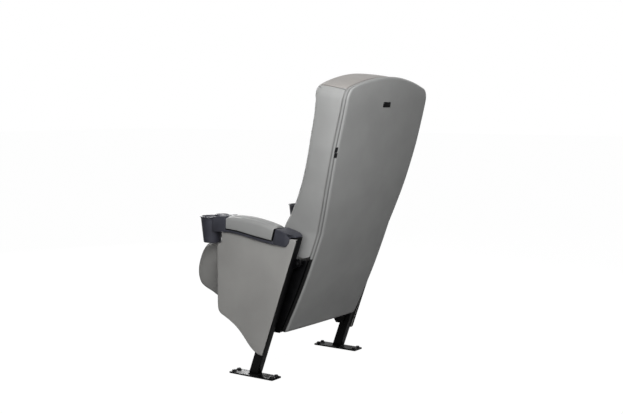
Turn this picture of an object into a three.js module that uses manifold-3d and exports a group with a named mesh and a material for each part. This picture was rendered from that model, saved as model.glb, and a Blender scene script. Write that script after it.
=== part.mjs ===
// A high-backed tip-up auditorium seat on two floor-bolted legs, with padded arms and cup holders.
// Millimetres, +Z up. The sitter faces -Y and the sitter's left is +X.
// The origin is on the floor, below the middle of the whole outline as seen from above.
// The sizes below are measured from the middle between the foot plates.
import * as THREE from "three";
import { mergeVertices } from "three/addons/utils/BufferGeometryUtils.js";
import Module from "manifold-3d";

const wasm = await Module();
wasm.setup();

// Clearances that every piece shares
const touch = 0.3;
const running = 1;
const overrun = 6;
const weld = 0.001;

// Foot plates and floor anchors
const legSpacing = 560;
const plateLength = 205;
const plateWidth = 57;
const plateThick = 6;
const plateCorner = 5;
const anchorInset = 14;
const anchorHole = 11;
const anchorShank = 10;
const anchorHead = 16;
const anchorHeadHeight = 7;
const washerWidth = 21;
const washerThick = 2;

// Legs: rectangular tube that leans back; the lean is a run for each unit of rise
const legWidth = 31;
const legDepth = 41;
const legWall = 2.5;
const legCorner = 4;
const legLean = 0.36;
const legFootRear = 19;
const legTopDrop = 18;
const plugFlange = 3;
const plugSpigot = 16;
const plugSlack = 0.4;

// The curved line that the back follows, measured on the front face of its outer panel
const backBottom = 168;
const backFootDepth = 103;
const backRise = 941;
const backSweep = 309;
const backLineShares = [[0, 0], [0.236, 0.333], [0.538, 0.663], [0.874, 0.939], [1, 1]];

// Outline of the back as seen from behind
const waistInset = 47;
const shoulderInset = 2;
const waistHeight = 548;
const shoulderStart = 900;
const flareShares = [[0, 0], [0.2, 0.29], [0.47, 0.66], [0.82, 0.95], [1, 1]];
const shoulderHeight = 1023;
const shoulderRadius = 50;
const shoulderTurn = THREE.MathUtils.degToRad(73);
const archFade = 220;
const rowStep = 60;

// Outer panel, shell and cushion of the back
const outerThick = 9;
const outerRound = 18;
const outerEdge = 1;
const outerCrown = 5;
const shellThick = 14;
const shellFootInset = 7;
const shellStep = 8;
const cushionBottom = 455;
const cushionRound = 26;
const cushionCrown = 14;
const cushionTopPuff = 5;
const cushionSidePuff = 2;
const cushionTopTilt = 14;
const cushionFootDip = 8;
const frontLineLow = 416;
const frontLineRise = 720;
const lumbarDepth = 62;
const frontSweep = 206;
const frontLineShares = [
  [0, 0.08], [0.05, 0.01], [0.12, 0], [0.21, 0.16], [0.283, 0.335], [0.369, 0.505],
  [0.462, 0.646], [0.583, 0.777], [0.7, 0.869], [0.817, 0.947], [1, 1],
];

// Steel frame of the back: a folded tub that the shell is screwed to
const tubInset = 39;
const tubWall = 2.5;
const tubTop = 446;
const tubBottom = 165;
const tubDepth = 85;
const tubLip = 16;
const tubBeads = 4;
const beadHeight = 14;
const beadDepth = 5;
const beadShare = 0.8;

// Brackets on the inner faces of the legs
const bracketThick = 6;
const pivotForward = 10;
const pivotHeight = 325;
const noseRadius = 28;
const bracketFootHeight = 109;
const bracketHeelRise = 19;
const bracketFootForward = 9;
const bracketFootLap = 13;
const bracketTopRise = 25;
const earHeight = 439;
const earReach = 9;
const earRadius = 15;
const earLap = 30;
const lowerBoltDrop = 93;
const lowerBoltForward = 13;

// Bolts and sleeves that hold the back between the brackets
const backBolt = 8;
const backBoltHead = 15;
const backBoltHeadHeight = 5.5;
const backNutHeight = 5;
const boltSlack = 0.6;
const sleeveWidth = 20;

// Seat pivot and its stop
const pinWidth = 18;
const pinHead = 30;
const pinHeadHeight = 5;
const pinSlack = 0.1;
const bushWall = 3;
const bushFlange = 40;
const seatLift = THREE.MathUtils.degToRad(49);
const pegWidth = 12;
const bufferWall = 4;
const pegDistance = 46;
const pegAngle = THREE.MathUtils.degToRad(70);
const pegHead = 2;

// Seat: the outline of its side, its pan and its hinge plates
const seatInset = 50;
const seatFront = 329;
const seatLength = 409;
const seatDrop = 119;
const seatHeight = 260;
const seatRound = 16;
const seatCrown = 11;
const seatDrawIn = 3;
const seatNoseShares = [
  [0.245, 0.222], [0.19, 0.276], [0.078, 0.35], [0.02, 0.437], [0, 0.62], [0.035, 0.815], [0.08, 0.93],
  [0.135, 0.985], [0.2, 1],
];
const seatTailShares = [[0.94, 0.8], [0.985, 0.73], [1, 0.62], [0.985, 0.4], [0.95, 0.235]];
const panRise = 34;
const panFloor = 4;
const panWall = 4;
const panFrontShare = 0.33;
const panRearShare = 0.93;
const panSlope = 0.2;
const panFrontDrop = 63;
const panRibs = 5;
const panRib = 3;
const hingePlateThick = 5;
const hingePlateForward = 150;
const hingePlateArm = 34;
const stopLugReach = 58;
const crossTubeWidth = 20;
const crossTubeWall = 2;
const crossTubeForward = 60;

// End panels: a board on the leg's outer face inside a padded cover
const panelThick = 15;
const panelCover = 4;
const panelEdgeRound = 4;
const panelForward = 156;
const panelNotchForward = 134;
const panelNotchDrop = 59;
const panelNotchRadius = 10;
const panelToeRadius = 34;
const panelToeForward = 138;
const panelToeHeight = 221;
const panelTipHeight = 86;
const panelTipBack = 55;
const panelRearLap = 5;
const panelTopDrop = 20;
const panelCurveShares = [
  [0, 1], [0.11, 0.93], [0.22, 0.847], [0.34, 0.74], [0.45, 0.613], [0.56, 0.45], [0.66, 0.285],
  [0.75, 0.16], [0.838, 0.073], [0.92, 0.02], [1, 0],
];
const panelScrew = 6;
const panelScrewHead = 14;
const panelScrewHeadHeight = 3;
const panelScrewHeightShares = [0.36, 0.8];

// Arms: the line under the pad, shared by the pad, the base and the rail
const armAside = 3;
const armHalf = 36;
const armFront = 105;
const armPadRear = 111;
const armLineHeight = 550;
const armDrop = 29;
const armLineShares = [[0, 0], [0.22, 0.12], [0.44, 0.37], [0.66, 0.65], [1, 1]];
const padCrestRise = 50;
const padRearHeight = 52;
const padRearSlant = 16;
const padRound = 17;
const padCrown = 6;
const padEndRound = 3;
const padFrontShare = 0.86;
const padCrestShare = 0.2;
const padTopShares = [[0.5, 0.9], [0.8, 0.5]];
const baseFrontDepth = 12;
const baseRearDepth = 14.5;
const baseTop = 4;
const baseWall = 3;
const baseRound = 2;
const railWidth = 24;
const railThick = 6;
const railForward = 80;

// Rear cap of the arm, which hoods the top of the leg
const capCrestRise = 18;
const capFrontRise = 15;
const capCrestBack = 166;
const capShoulderBack = 192;
const capShoulderRise = 8;
const capRear = 212;
const capRearDrop = 5;
const capFloorDrop = 13.5;
const cheekRearRise = 6;
const cheekRearBack = 174;
const cheekHeelBack = 187;
const cheekHeelDrop = 19;
const cheekToeBack = 180;
const cheekToeDrop = 39;
const cheekLowDrop = 49;
const cheekLowBack = 170;
const capRound = 3;
const capPlanRound = 46;
const undercutDepth = 13;

// Cup holder: a tapered cup and the block that carries it on the arm
const cupBack = -200;
const cupTopRise = 38.5;
const cupHeight = 100;
const cupTopRadius = 43.5;
const cupBottomRadius = 33;
const cupLip = 3.5;
const cupLipHeight = 3;
const cupWall = 2.6;
const cupFloor = 3.5;
const blockRise = 8.5;
const blockForward = 61;
const blockRound = 3;
const blockWall = 3;
const dishBack = -151;
const dishRadius = 27;
const dishRim = 3.5;
const dishRise = 1;
const dishDepth = 3;

// Places that follow from the sizes above
const waistHalf = legSpacing / 2 - waistInset;
const shoulderHalf = legSpacing / 2 - shoulderInset;
const tubHalf = legSpacing / 2 - tubInset;
const seatHalf = legSpacing / 2 - seatInset;
const armCentre = legSpacing / 2 + armAside;
const legInner = legSpacing / 2 - legWidth / 2;
const legOuter = legSpacing / 2 + legWidth / 2;
const bracketOuter = legInner - touch;
const bracketInner = bracketOuter - bracketThick;
const panelInner = legOuter + touch;
const panelOuter = panelInner + panelThick;
const boardOuter = panelOuter - panelCover - touch;
const armInner = armCentre - armHalf;
const armOuter = armCentre + armHalf;
const backTop = backBottom + backRise;
const legTop = armLineHeight - legTopDrop;
const panelTopRear = armLineHeight - panelTopDrop;
const panelNotchHeight = armLineHeight - panelNotchDrop;
const padCrest = armLineHeight + padCrestRise;
const capCrest = armLineHeight + capCrestRise;
const capFrontHeight = armLineHeight + capFrontRise;
const capShoulderHeight = armLineHeight + capShoulderRise;
const capRearHeight = armLineHeight - capRearDrop;
const capFloor = armLineHeight - capFloorDrop;
const cheekRearTop = armLineHeight + cheekRearRise;
const cheekHeelHeight = armLineHeight - cheekHeelDrop;
const cheekToeHeight = armLineHeight - cheekToeDrop;
const cheekLow = armLineHeight - cheekLowDrop;
const cupTop = armLineHeight + cupTopRise;
const lowerBoltHeight = pivotHeight - lowerBoltDrop;
const seatLow = pivotHeight - seatDrop;
const panFrontLow = pivotHeight - panFrontDrop;
const bracketTop = pivotHeight + bracketTopRise;

const grey = () => new THREE.MeshStandardMaterial({ color: 0x8b8b88, roughness: 0.55, metalness: 0 });
const blackSteel = () => new THREE.MeshStandardMaterial({ color: 0x0c0c0d, roughness: 0.4, metalness: 0.6 });
const zinc = () => new THREE.MeshStandardMaterial({ color: 0x6d6f72, roughness: 0.35, metalness: 0.9 });
const charcoal = () => new THREE.MeshStandardMaterial({ color: 0x3f4048, roughness: 0.5, metalness: 0 });
const blackPlastic = () => new THREE.MeshStandardMaterial({ color: 0x111112, roughness: 0.5, metalness: 0 });
const rubber = () => new THREE.MeshStandardMaterial({ color: 0x0a0a0a, roughness: 0.9, metalness: 0 });
const nylon = () => new THREE.MeshStandardMaterial({ color: 0x2a2a2c, roughness: 0.5, metalness: 0 });
const wood = () => new THREE.MeshStandardMaterial({ color: 0xb08d60, roughness: 0.7, metalness: 0 });

const root = new THREE.Group();

// Solids and booleans

function toSolid(geometry) {
  const bare = geometry.clone();
  bare.deleteAttribute("normal");
  bare.deleteAttribute("uv");
  const merged = mergeVertices(bare, weld);
  const vertProperties = merged.attributes.position.array;
  return new wasm.Manifold(
    new wasm.Mesh({ numProp: 3, vertProperties, triVerts: new Uint32Array(merged.index.array) }),
  );
}

function toGeometry(solid) {
  const { vertProperties, triVerts } = solid.getMesh();
  const geometry = new THREE.BufferGeometry();
  geometry.setAttribute("position", new THREE.BufferAttribute(vertProperties, 3));
  geometry.setIndex(new THREE.BufferAttribute(triVerts, 1));
  geometry.computeVertexNormals();
  return geometry;
}

function join(...pieces) {
  return toGeometry(pieces.map(toSolid).reduce((whole, piece) => whole.add(piece)));
}

function cut(base, ...tools) {
  return toGeometry(tools.map(toSolid).reduce((whole, tool) => whole.subtract(tool), toSolid(base)));
}

function overlap(one, other) {
  return toGeometry(toSolid(one).intersect(toSolid(other)));
}

function piece(parent, name, geometry, material) {
  const mesh = new THREE.Mesh(geometry, material);
  mesh.name = name;
  parent.add(mesh);
  return mesh;
}

// Outlines

function vectors(points) {
  return points.map(([a, b]) => new THREE.Vector2(a, b));
}

// Points of a smooth curve through a list of places.
function smooth(points, steps) {
  return new THREE.SplineCurve(vectors(points)).getPoints(steps).map((p) => [p.x, p.y]);
}

// A closed shape with rounded corners; a third number in a corner is its own radius.
function rounded(points, radius) {
  const corners = vectors(points);
  const shape = new THREE.Shape();
  corners.forEach((corner, i) => {
    const wanted = points[i][2] ?? radius;
    const before = corners[(i + corners.length - 1) % corners.length];
    const after = corners[(i + 1) % corners.length];
    const reachIn = Math.min(wanted, corner.distanceTo(before) / 2);
    const reachOut = Math.min(wanted, corner.distanceTo(after) / 2);
    const enter = corner.clone().lerp(before, reachIn / corner.distanceTo(before));
    const leave = corner.clone().lerp(after, reachOut / corner.distanceTo(after));
    if (i === 0) shape.moveTo(enter.x, enter.y);
    else shape.lineTo(enter.x, enter.y);
    if (wanted > 0) shape.quadraticCurveTo(corner.x, corner.y, leave.x, leave.y);
  });
  shape.closePath();
  return shape;
}

// The same outline drawn in by one distance, for an outline that runs anticlockwise.
function inset(points, distance) {
  const corners = vectors(points);
  return corners.map((corner, i) => {
    const before = corners[(i + corners.length - 1) % corners.length];
    const after = corners[(i + 1) % corners.length];
    const first = corner.clone().sub(before).normalize();
    const second = after.clone().sub(corner).normalize();
    const inward = new THREE.Vector2(-first.y - second.y, first.x + second.x).normalize();
    const stretch = 1 / Math.max(0.5, inward.dot(new THREE.Vector2(-first.y, first.x)));
    return [corner.x + inward.x * distance * stretch, corner.y + inward.y * distance * stretch];
  });
}

function circle(y, z, radius, faces = 20) {
  const points = Array.from({ length: faces }, (_, i) => {
    const angle = (-2 * Math.PI * i) / faces;
    return [y + radius * Math.cos(angle), z + radius * Math.sin(angle)];
  });
  return new THREE.Path(vectors(points));
}

function rectangle(y0, z0, y1, z1) {
  return [[y0, z0], [y1, z0], [y1, z1], [y0, z1]];
}

// A function that reads a share along one curve of a share table.
function curveOf(shares) {
  const table = smooth(shares, 160);
  return (share) => {
    const at = table.findIndex(([a], i) => i > 0 && a >= share);
    const [low, high] = at < 0 ? table.slice(-2) : [table[at - 1], table[at]];
    return low[1] + ((high[1] - low[1]) * (share - low[0])) / (high[0] - low[0]);
  };
}

// Bodies

const sideways = new THREE.Matrix4().makeBasis(
  new THREE.Vector3(0, 1, 0), new THREE.Vector3(0, 0, 1), new THREE.Vector3(1, 0, 0),
);

// An outline in the Y-Z plane carried across from one X to another, its edges rounded by a bevel.
function across(outline, from, to, bevel = 0, steps = 1) {
  const shape = outline instanceof THREE.Shape ? outline : new THREE.Shape(vectors(outline));
  const geometry = new THREE.ExtrudeGeometry(shape, {
    depth: to - from - 2 * bevel,
    steps,
    curveSegments: 3,
    bevelEnabled: bevel > 0,
    bevelSize: bevel,
    bevelThickness: bevel,
    bevelOffset: -bevel,
    bevelSegments: 3,
  });
  return geometry.translate(0, 0, from + bevel).applyMatrix4(sideways);
}

// An outline in the X-Y plane raised from one height to another.
function upright(shape, low, high) {
  return new THREE.ExtrudeGeometry(shape, { depth: high - low, bevelEnabled: false, curveSegments: 3 })
    .translate(0, 0, low);
}

function block(x0, x1, y0, y1, z0, z1) {
  return new THREE.BoxGeometry(x1 - x0, y1 - y0, z1 - z0)
    .translate((x0 + x1) / 2, (y0 + y1) / 2, (z0 + z1) / 2);
}

// A rod along X.
function rod(width, x0, x1, y, z, faces = 24) {
  return new THREE.CylinderGeometry(width / 2, width / 2, x1 - x0, faces)
    .rotateZ(Math.PI / 2)
    .translate((x0 + x1) / 2, y, z);
}

// A tube along X, turned from a closed section.
function sleeve(outer, bore, x0, x1, y, z, faces = 24) {
  const section = [[bore, x0], [outer, x0], [outer, x1], [bore, x1], [bore, x0]];
  const profile = section.map(([width, x]) => new THREE.Vector2(width / 2, x));
  return new THREE.LatheGeometry(profile, faces).rotateZ(-Math.PI / 2).translate(0, y, z);
}

// A closed body through sections that hold the same number of points, its ends closed flat.
function loft(sections) {
  const count = sections[0].length;
  const points = sections.flat();
  const faces = [];
  for (let k = 0; k < sections.length - 1; k++)
    for (let i = 0; i < count; i++) {
      const next = (i + 1) % count;
      const [a, b, c, d] = [k * count + i, k * count + next, (k + 1) * count + next, (k + 1) * count + i];
      faces.push(a, d, b, b, d, c);
    }
  const last = points.length - count;
  for (let i = 1; i < count - 1; i++) faces.push(0, i, i + 1, last, last + i + 1, last + i);
  const geometry = new THREE.BufferGeometry();
  geometry.setAttribute("position", new THREE.Float32BufferAttribute(points.flat(), 3));
  geometry.setIndex(faces);
  geometry.computeVertexNormals();
  return geometry;
}

// The line of the back and its outline

const backCurve = curveOf(backLineShares);

// Front face of the outer panel: straight between rows at fixed heights, so that every layer agrees.
function backLine(z) {
  const row = Math.floor((z - backBottom) / rowStep);
  const at = (k) => backFootDepth + backSweep * backCurve((k * rowStep) / backRise);
  return THREE.MathUtils.lerp(at(row), at(row + 1), (z - backBottom) / rowStep - row);
}

const frontCurve = curveOf(frontLineShares);
const frontLine = (z) => lumbarDepth + frontSweep * frontCurve((z - frontLineLow) / frontLineRise);
const flareCurve = curveOf(flareShares);
const legRear = (z) => legFootRear + legLean * z;

function halfAt(z) {
  const share = THREE.MathUtils.clamp((z - waistHeight) / (shoulderStart - waistHeight), 0, 1);
  return waistHalf + (shoulderHalf - waistHalf) * flareCurve(share);
}

// Rows from the foot to the arched top, each with its half width and its heights at edge and middle.
function backRows(bottom, round, foot = waistHalf) {
  const archHalf = shoulderHalf - shoulderRadius + shoulderRadius * Math.cos(shoulderTurn);
  const archSide = shoulderHeight + shoulderRadius * Math.sin(shoulderTurn);
  const archRise = backTop - archSide;
  const rise = (z) => archRise * THREE.MathUtils.smoothstep(z, archSide - archFade, archSide);
  const rows = [0, 0.12, 0.4, 1].map((share) => bottom + round * share);
  for (let z = backBottom; z < shoulderHeight - rowStep / 4; z += rowStep)
    if (z > bottom + round + rowStep / 4) rows.push(z);
  rows.push(shoulderHeight);
  const sides = rows.map((z) => ({ half: z < waistHeight ? foot : halfAt(z), side: z, middle: z + rise(z) }));
  const turns = 5;
  for (let i = 1; i <= turns; i++) {
    const turn = (shoulderTurn * i) / turns;
    const side = shoulderHeight + shoulderRadius * Math.sin(turn);
    const half = shoulderHalf - shoulderRadius + shoulderRadius * Math.cos(turn);
    sides.push({ half, side, middle: i === turns ? archSide + archRise : side + rise(side) });
  }
  return { rows: sides, top: archHalf };
}

// How far a point lies into the rounded border: 0 inside, 1 on the outline.
function borderShare(x, row, middle, rows, round) {
  const low = rows[0].middle;
  const high = rows[rows.length - 1].middle;
  const near = [row.half - Math.abs(x), high - middle, middle - low];
  return Math.min(1, Math.hypot(...near.map((gap) => Math.max(0, 1 - gap / round))));
}

// A closed body between a front sheet and a rear sheet with one outline, seen from the front.
function shield(rows, round, inner, front, rear, wallSteps = 1, puff = () => [0, 0]) {
  const points = [];
  const edges = [0, 0.12, 0.4, 1].map((share) => share * round);
  const columns = ({ half }) => {
    const left = edges.map((gap) => gap - half);
    const flat = half - round;
    const middle = Array.from({ length: inner }, (_, i) => -flat + (2 * flat * (i + 1)) / (inner + 1));
    return [...left, ...middle, ...left.map((x) => -x).reverse()];
  };
  const sheet = (place) =>
    rows.map((row) =>
      columns(row).map((x) => {
        const share = x / row.half;
        const z = row.middle - (row.middle - row.side) * share * share;
        const [y, height] = place(x, z, row, borderShare(x, row, row.middle, rows, round));
        return points.push([x, y, height]) - 1;
      }),
    );
  const frontSheet = sheet(front);
  const rearSheet = sheet(rear);
  const faces = [];
  const last = rows.length - 1;
  const wide = frontSheet[0].length - 1;
  for (let i = 0; i < last; i++)
    for (let j = 0; j < wide; j++)
      for (const [grid, flip] of [[frontSheet, false], [rearSheet, true]]) {
        const [a, b, c, d] = [grid[i][j], grid[i][j + 1], grid[i + 1][j + 1], grid[i + 1][j]];
        faces.push(...(flip ? [a, c, b, a, d, c] : [a, b, c, a, c, d]));
      }
  const border = [];
  for (let j = 0; j < wide; j++) border.push([0, j]);
  for (let i = 0; i < last; i++) border.push([i, wide]);
  for (let j = wide; j > 0; j--) border.push([last, j]);
  for (let i = last; i > 0; i--) border.push([i, 0]);
  const rings = Array.from({ length: wallSteps + 1 }, (_, k) => {
    if (k === 0) return border.map(([i, j]) => frontSheet[i][j]);
    if (k === wallSteps) return border.map(([i, j]) => rearSheet[i][j]);
    return border.map(([i, j]) => {
      const from = points[frontSheet[i][j]];
      const to = points[rearSheet[i][j]];
      const [outX, outZ] = puff(i, j, last, wide);
      const swell = Math.sin((Math.PI * k) / wallSteps);
      const along = from.map((value, axis) => value + ((to[axis] - value) * k) / wallSteps);
      return points.push([along[0] + outX * swell, along[1], along[2] + outZ * swell]) - 1;
    });
  });
  for (let k = 0; k < wallSteps; k++)
    border.forEach((_, b) => {
      const next = (b + 1) % border.length;
      const [a, c] = [rings[k], rings[k + 1]];
      faces.push(a[b], c[b], c[next], a[b], c[next], a[next]);
    });
  const geometry = new THREE.BufferGeometry();
  geometry.setAttribute("position", new THREE.Float32BufferAttribute(points.flat(), 3));
  geometry.setIndex(faces);
  geometry.computeVertexNormals();
  return geometry;
}

const quarter = (share, radius) => radius * (1 - Math.sqrt(Math.max(0, 1 - share * share)));

// The back

function outerPanel() {
  const { rows } = backRows(backBottom, outerRound);
  const flat = (x, z) => [backLine(z), z];
  const crowned = (x, z, row, border) => {
    const bow = outerCrown * (1 - (x / row.half) ** 2);
    return [backLine(z) + outerThick + bow - quarter(border, outerThick - outerEdge), z];
  };
  return shield(rows, outerRound, 5, flat, crowned);
}

function backShell() {
  const foot = waistHalf - shellFootInset;
  const { rows } = backRows(backBottom + touch, shellStep, foot);
  const kept = rows.map((row) => (row.side > cushionBottom ? { ...row, half: halfAt(row.side) } : row));
  rows.forEach((row, i) => {
    if (row.side > shoulderHeight) kept[i] = row;
  });
  const frontFace = (x, z) => [backLine(z) - shellThick, z];
  const rearFace = (x, z) => [backLine(z) - touch, z];
  return shield(kept, shellStep, 3, frontFace, rearFace);
}

function backCushion() {
  const { rows } = backRows(cushionBottom, cushionRound);
  const tilt = (z) =>
    THREE.MathUtils.lerp(-cushionFootDip, cushionTopTilt, (z - cushionBottom) / (backTop - cushionBottom));
  const face = (x, z, row, border) => {
    const height = z + tilt(z);
    const crown = cushionCrown * (1 - (x / row.half) ** 2);
    return [frontLine(height) - crown + quarter(border, cushionRound), height];
  };
  const seated = (x, z) => [backLine(z) - shellThick - touch, z];
  const puff = (i, j, last, wide) => {
    if (i === last) return [0, cushionTopPuff];
    if (j === 0) return [-cushionSidePuff, 0];
    return j === wide ? [cushionSidePuff, 0] : [0, 0];
  };
  return shield(rows, cushionRound, 5, face, seated, 4, puff);
}

// The folded steel tub between the shell and the brackets.
function backFrame() {
  const heights = [tubBottom];
  for (let z = backBottom + rowStep; z < tubTop; z += rowStep) heights.push(z);
  heights.push(tubTop);
  const line = (offset) => heights.map((z) => [backLine(z) - shellThick - touch - offset, z]);
  const strip = (near, far) => [...line(far), ...line(near).reverse()];
  const body = across(strip(0, tubDepth), -tubHalf, tubHalf);
  const hollowLine = strip(tubWall, tubDepth + overrun).map(([y, z]) => [
    y, z === tubTop ? z + overrun : z === tubBottom ? z - overrun : z,
  ]);
  const hollow = across(hollowLine, tubWall - tubHalf, tubHalf - tubWall);
  const lipRear = backLine(tubBottom) - shellThick - touch - tubWall / 2;
  const lip = across(
    rectangle(lipRear - tubLip, tubBottom + tubWall / 2, lipRear, tubBottom + 2 * tubWall),
    tubWall / 2 - tubHalf, tubHalf - tubWall / 2,
  );
  const beads = Array.from({ length: tubBeads }, (_, i) => {
    const z = tubBottom + ((tubTop - tubBottom) * (i + 1)) / (tubBeads + 1);
    const plate = (height) => backLine(height) - shellThick - touch - tubWall / 2;
    const ridge = [
      [plate(z - beadHeight), z - beadHeight], [plate(z + beadHeight), z + beadHeight],
      [plate(z) - tubWall / 2 - beadDepth, z],
    ];
    return across(ridge, -tubHalf * beadShare, tubHalf * beadShare);
  });
  const bores = [upperBolt, lowerBolt].flatMap(({ y, z }) => [
    rod(backBolt + boltSlack, tubHalf - tubWall - overrun, tubHalf + overrun, y, z, 16),
    rod(backBolt + boltSlack, -tubHalf - overrun, tubWall - tubHalf + overrun, y, z, 16),
  ]);
  return cut(join(cut(body, hollow), lip, ...beads), ...bores);
}

const upperBolt = { y: legRear(earHeight) + earReach, z: earHeight };
const lowerBolt = { y: legRear(lowerBoltHeight) - legDepth - lowerBoltForward, z: lowerBoltHeight };

// The seat

const seatPoint = ([along, up]) => [along * seatLength - seatFront, seatLow + up * seatHeight];
const panLine = (y) => panFrontLow - panSlope * (y - panFrontY);
const panFrontY = panFrontShare * seatLength - seatFront;
const panRearY = panRearShare * seatLength - seatFront;

function seatCushion() {
  const nose = smooth(seatNoseShares.map(seatPoint), 20);
  const tail = smooth(seatTailShares.map(seatPoint), 8);
  const seam = [[panRearY, panLine(panRearY) + panRise + touch], [panFrontY, panLine(panFrontY) + panRise + touch]];
  const under = [panFrontY - touch, panLine(panFrontY)];
  const outline = [...nose, ...tail, ...seam, under].reverse();
  const geometry = across(outline, -seatHalf, seatHalf, seatRound, 8);
  const place = geometry.attributes.position;
  for (let i = 0; i < place.count; i++) {
    const [x, y, z] = [place.getX(i), place.getY(i), place.getZ(i)];
    const bow = 1 - (x / seatHalf) ** 2;
    const up = THREE.MathUtils.smoothstep(z, seatLow + seatHeight / 2, seatLow + seatHeight);
    const ahead = THREE.MathUtils.smoothstep(-y, seatFront - seatLength / 4, seatFront);
    const along = THREE.MathUtils.clamp((y + seatFront) / seatLength, 0, 1);
    const draw = Math.abs(x) > seatHalf - 2 * seatRound ? Math.sign(x) * seatDrawIn * Math.sin(Math.PI * along) : 0;
    place.setXYZ(i, x - draw, y - (seatCrown * bow * ahead) / 2, z + seatCrown * bow * up);
  }
  geometry.computeVertexNormals();
  return geometry;
}

// A shallow pressed steel tray under the cushion, ribbed inside.
function seatPan() {
  const slab = (y0, y1, low, high) => [
    [y0, panLine(y0) + low], [y1, panLine(y1) + low], [y1, panLine(y1) + high], [y0, panLine(y0) + high],
  ];
  const body = across(rounded(slab(panFrontY, panRearY, 0, panRise), panWall), -seatHalf, seatHalf);
  const bays = [];
  const inner = seatHalf - panWall;
  for (let i = 0; i <= panRibs; i++) {
    const from = -inner + (2 * inner * i) / (panRibs + 1) + (i ? panRib / 2 : 0);
    const to = -inner + (2 * inner * (i + 1)) / (panRibs + 1) - (i < panRibs ? panRib / 2 : 0);
    bays.push(across(slab(panFrontY + panWall, panRearY - panWall, panFloor, panRise + overrun), from, to));
  }
  const bore = rod(crossTubeWidth + 2 * touch, -inner, inner, crossTube.y, crossTube.z);
  return cut(body, ...bays, bore);
}

const crossTube = {
  y: -crossTubeForward,
  z: panLine(-crossTubeForward) + panFloor + crossTubeWidth / 2 + running,
};

const peg = {
  y: pivotForward - pegDistance * Math.cos(pegAngle),
  z: pivotHeight - pegDistance * Math.sin(pegAngle),
  buffer: pegWidth + 2 * bufferWall,
};

// Plate that turns on the pin: an arm along the pan, a notch for the stop peg and a lug behind it.
function hingePlate() {
  const half = Math.asin((peg.buffer / 2 + touch) / pegDistance);
  const polar = (angle, reach) => [
    pivotForward - reach * Math.cos(angle), pivotHeight - reach * Math.sin(angle),
  ];
  const armEdge = pegAngle - half;
  const lugEdge = pegAngle + half + seatLift;
  const armRear = (pivotHeight - panLine(-hingePlateArm)) / Math.sin(armEdge);
  const arc = (from, to, reach, steps) =>
    Array.from({ length: steps + 1 }, (_, i) => polar(from + ((to - from) * i) / steps, reach));
  const armTop = panLine(-hingePlateForward) + panRise;
  const outline = [
    [-hingePlateForward, armTop - panRise + panFloor],
    polar(armEdge, armRear - panFloor),
    ...arc(armEdge, lugEdge, noseRadius, 8),
    polar(lugEdge, stopLugReach),
    polar((lugEdge + Math.PI) / 2 + seatLift / 2, stopLugReach),
    ...arc(Math.PI, 1.75 * Math.PI, noseRadius, 8),
    [-hingePlateForward, armTop],
  ];
  const shape = new THREE.Shape(vectors(outline));
  shape.holes.push(circle(pivotForward, pivotHeight, pinWidth / 2 + bushWall + touch));
  return across(shape, seatHalf + touch, seatHalf + touch + hingePlateThick);
}

// Fasteners

// A hexagon bolt along Z with its washer, head up, standing on the given height.
function anchor() {
  const seat = plateThick + touch;
  const hexagon = new THREE.CylinderGeometry(anchorHead / 2, anchorHead / 2, anchorHeadHeight, 6)
    .rotateX(Math.PI / 2)
    .translate(0, 0, seat + washerThick + anchorHeadHeight / 2);
  const washer = new THREE.CylinderGeometry(washerWidth / 2, washerWidth / 2, washerThick, 18)
    .rotateX(Math.PI / 2)
    .translate(0, 0, seat + washerThick / 2);
  const shank = new THREE.CylinderGeometry(anchorShank / 2, anchorShank / 2, seat + washerThick, 12)
    .rotateX(Math.PI / 2)
    .translate(0, 0, (seat + washerThick) / 2);
  return join(hexagon, washer, shank);
}

// A bolt along X through bracket, sleeve and tub, with its nut inside the tub.
function backBoltBody({ y, z }) {
  const head = rod(backBoltHead, bracketOuter + touch, bracketOuter + touch + backBoltHeadHeight, y, z, 6);
  const nutInner = tubHalf - tubWall - touch - backNutHeight;
  const nut = rod(backBoltHead, nutInner, tubHalf - tubWall - touch, y, z, 6);
  const shank = rod(backBolt, nutInner, bracketOuter + backBoltHeadHeight, y, z, 14);
  return join(head, nut, shank);
}

// One side of the frame, drawn for the sitter's left

function legTube() {
  const x0 = legInner;
  const y0 = legFootRear - legDepth;
  const shape = rounded([[x0, y0], [legOuter, y0], [legOuter, legFootRear], [x0, legFootRear]], legCorner);
  const bore = rounded(
    [[x0 + legWall, y0 + legWall], [legOuter - legWall, y0 + legWall],
      [legOuter - legWall, legFootRear - legWall], [x0 + legWall, legFootRear - legWall]],
    legCorner - legWall,
  );
  shape.holes.push(new THREE.Path(bore.getPoints(3)));
  return upright(shape, plateThick + touch, legTop).applyMatrix4(leanBack);
}

// Shear that leans an upright body with the leg.
const leanBack = new THREE.Matrix4().set(1, 0, 0, 0, 0, 1, legLean, 0, 0, 0, 1, 0, 0, 0, 0, 1);

function legPlug() {
  const y0 = legFootRear - legDepth;
  const slack = legWall + plugSlack;
  const flange = rounded([[legInner, y0], [legOuter, y0], [legOuter, legFootRear], [legInner, legFootRear]], legCorner);
  const spigot = rounded(
    [[legInner + slack, y0 + slack], [legOuter - slack, y0 + slack],
      [legOuter - slack, legFootRear - slack], [legInner + slack, legFootRear - slack]],
    legCorner - legWall,
  );
  const cap = upright(flange, legTop + touch, legTop + touch + plugFlange);
  return join(cap, upright(spigot, legTop - plugSpigot, legTop + plugFlange / 2)).applyMatrix4(leanBack);
}

function footPlate() {
  const [w, l] = [plateWidth / 2, plateLength / 2];
  const centre = legSpacing / 2;
  const shape = rounded([[centre - w, -l], [centre + w, -l], [centre + w, l], [centre - w, l]], plateCorner);
  for (const [x, y] of anchorPlaces()) shape.holes.push(circle(x, y, anchorHole / 2));
  return upright(shape, 0, plateThick);
}

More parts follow.
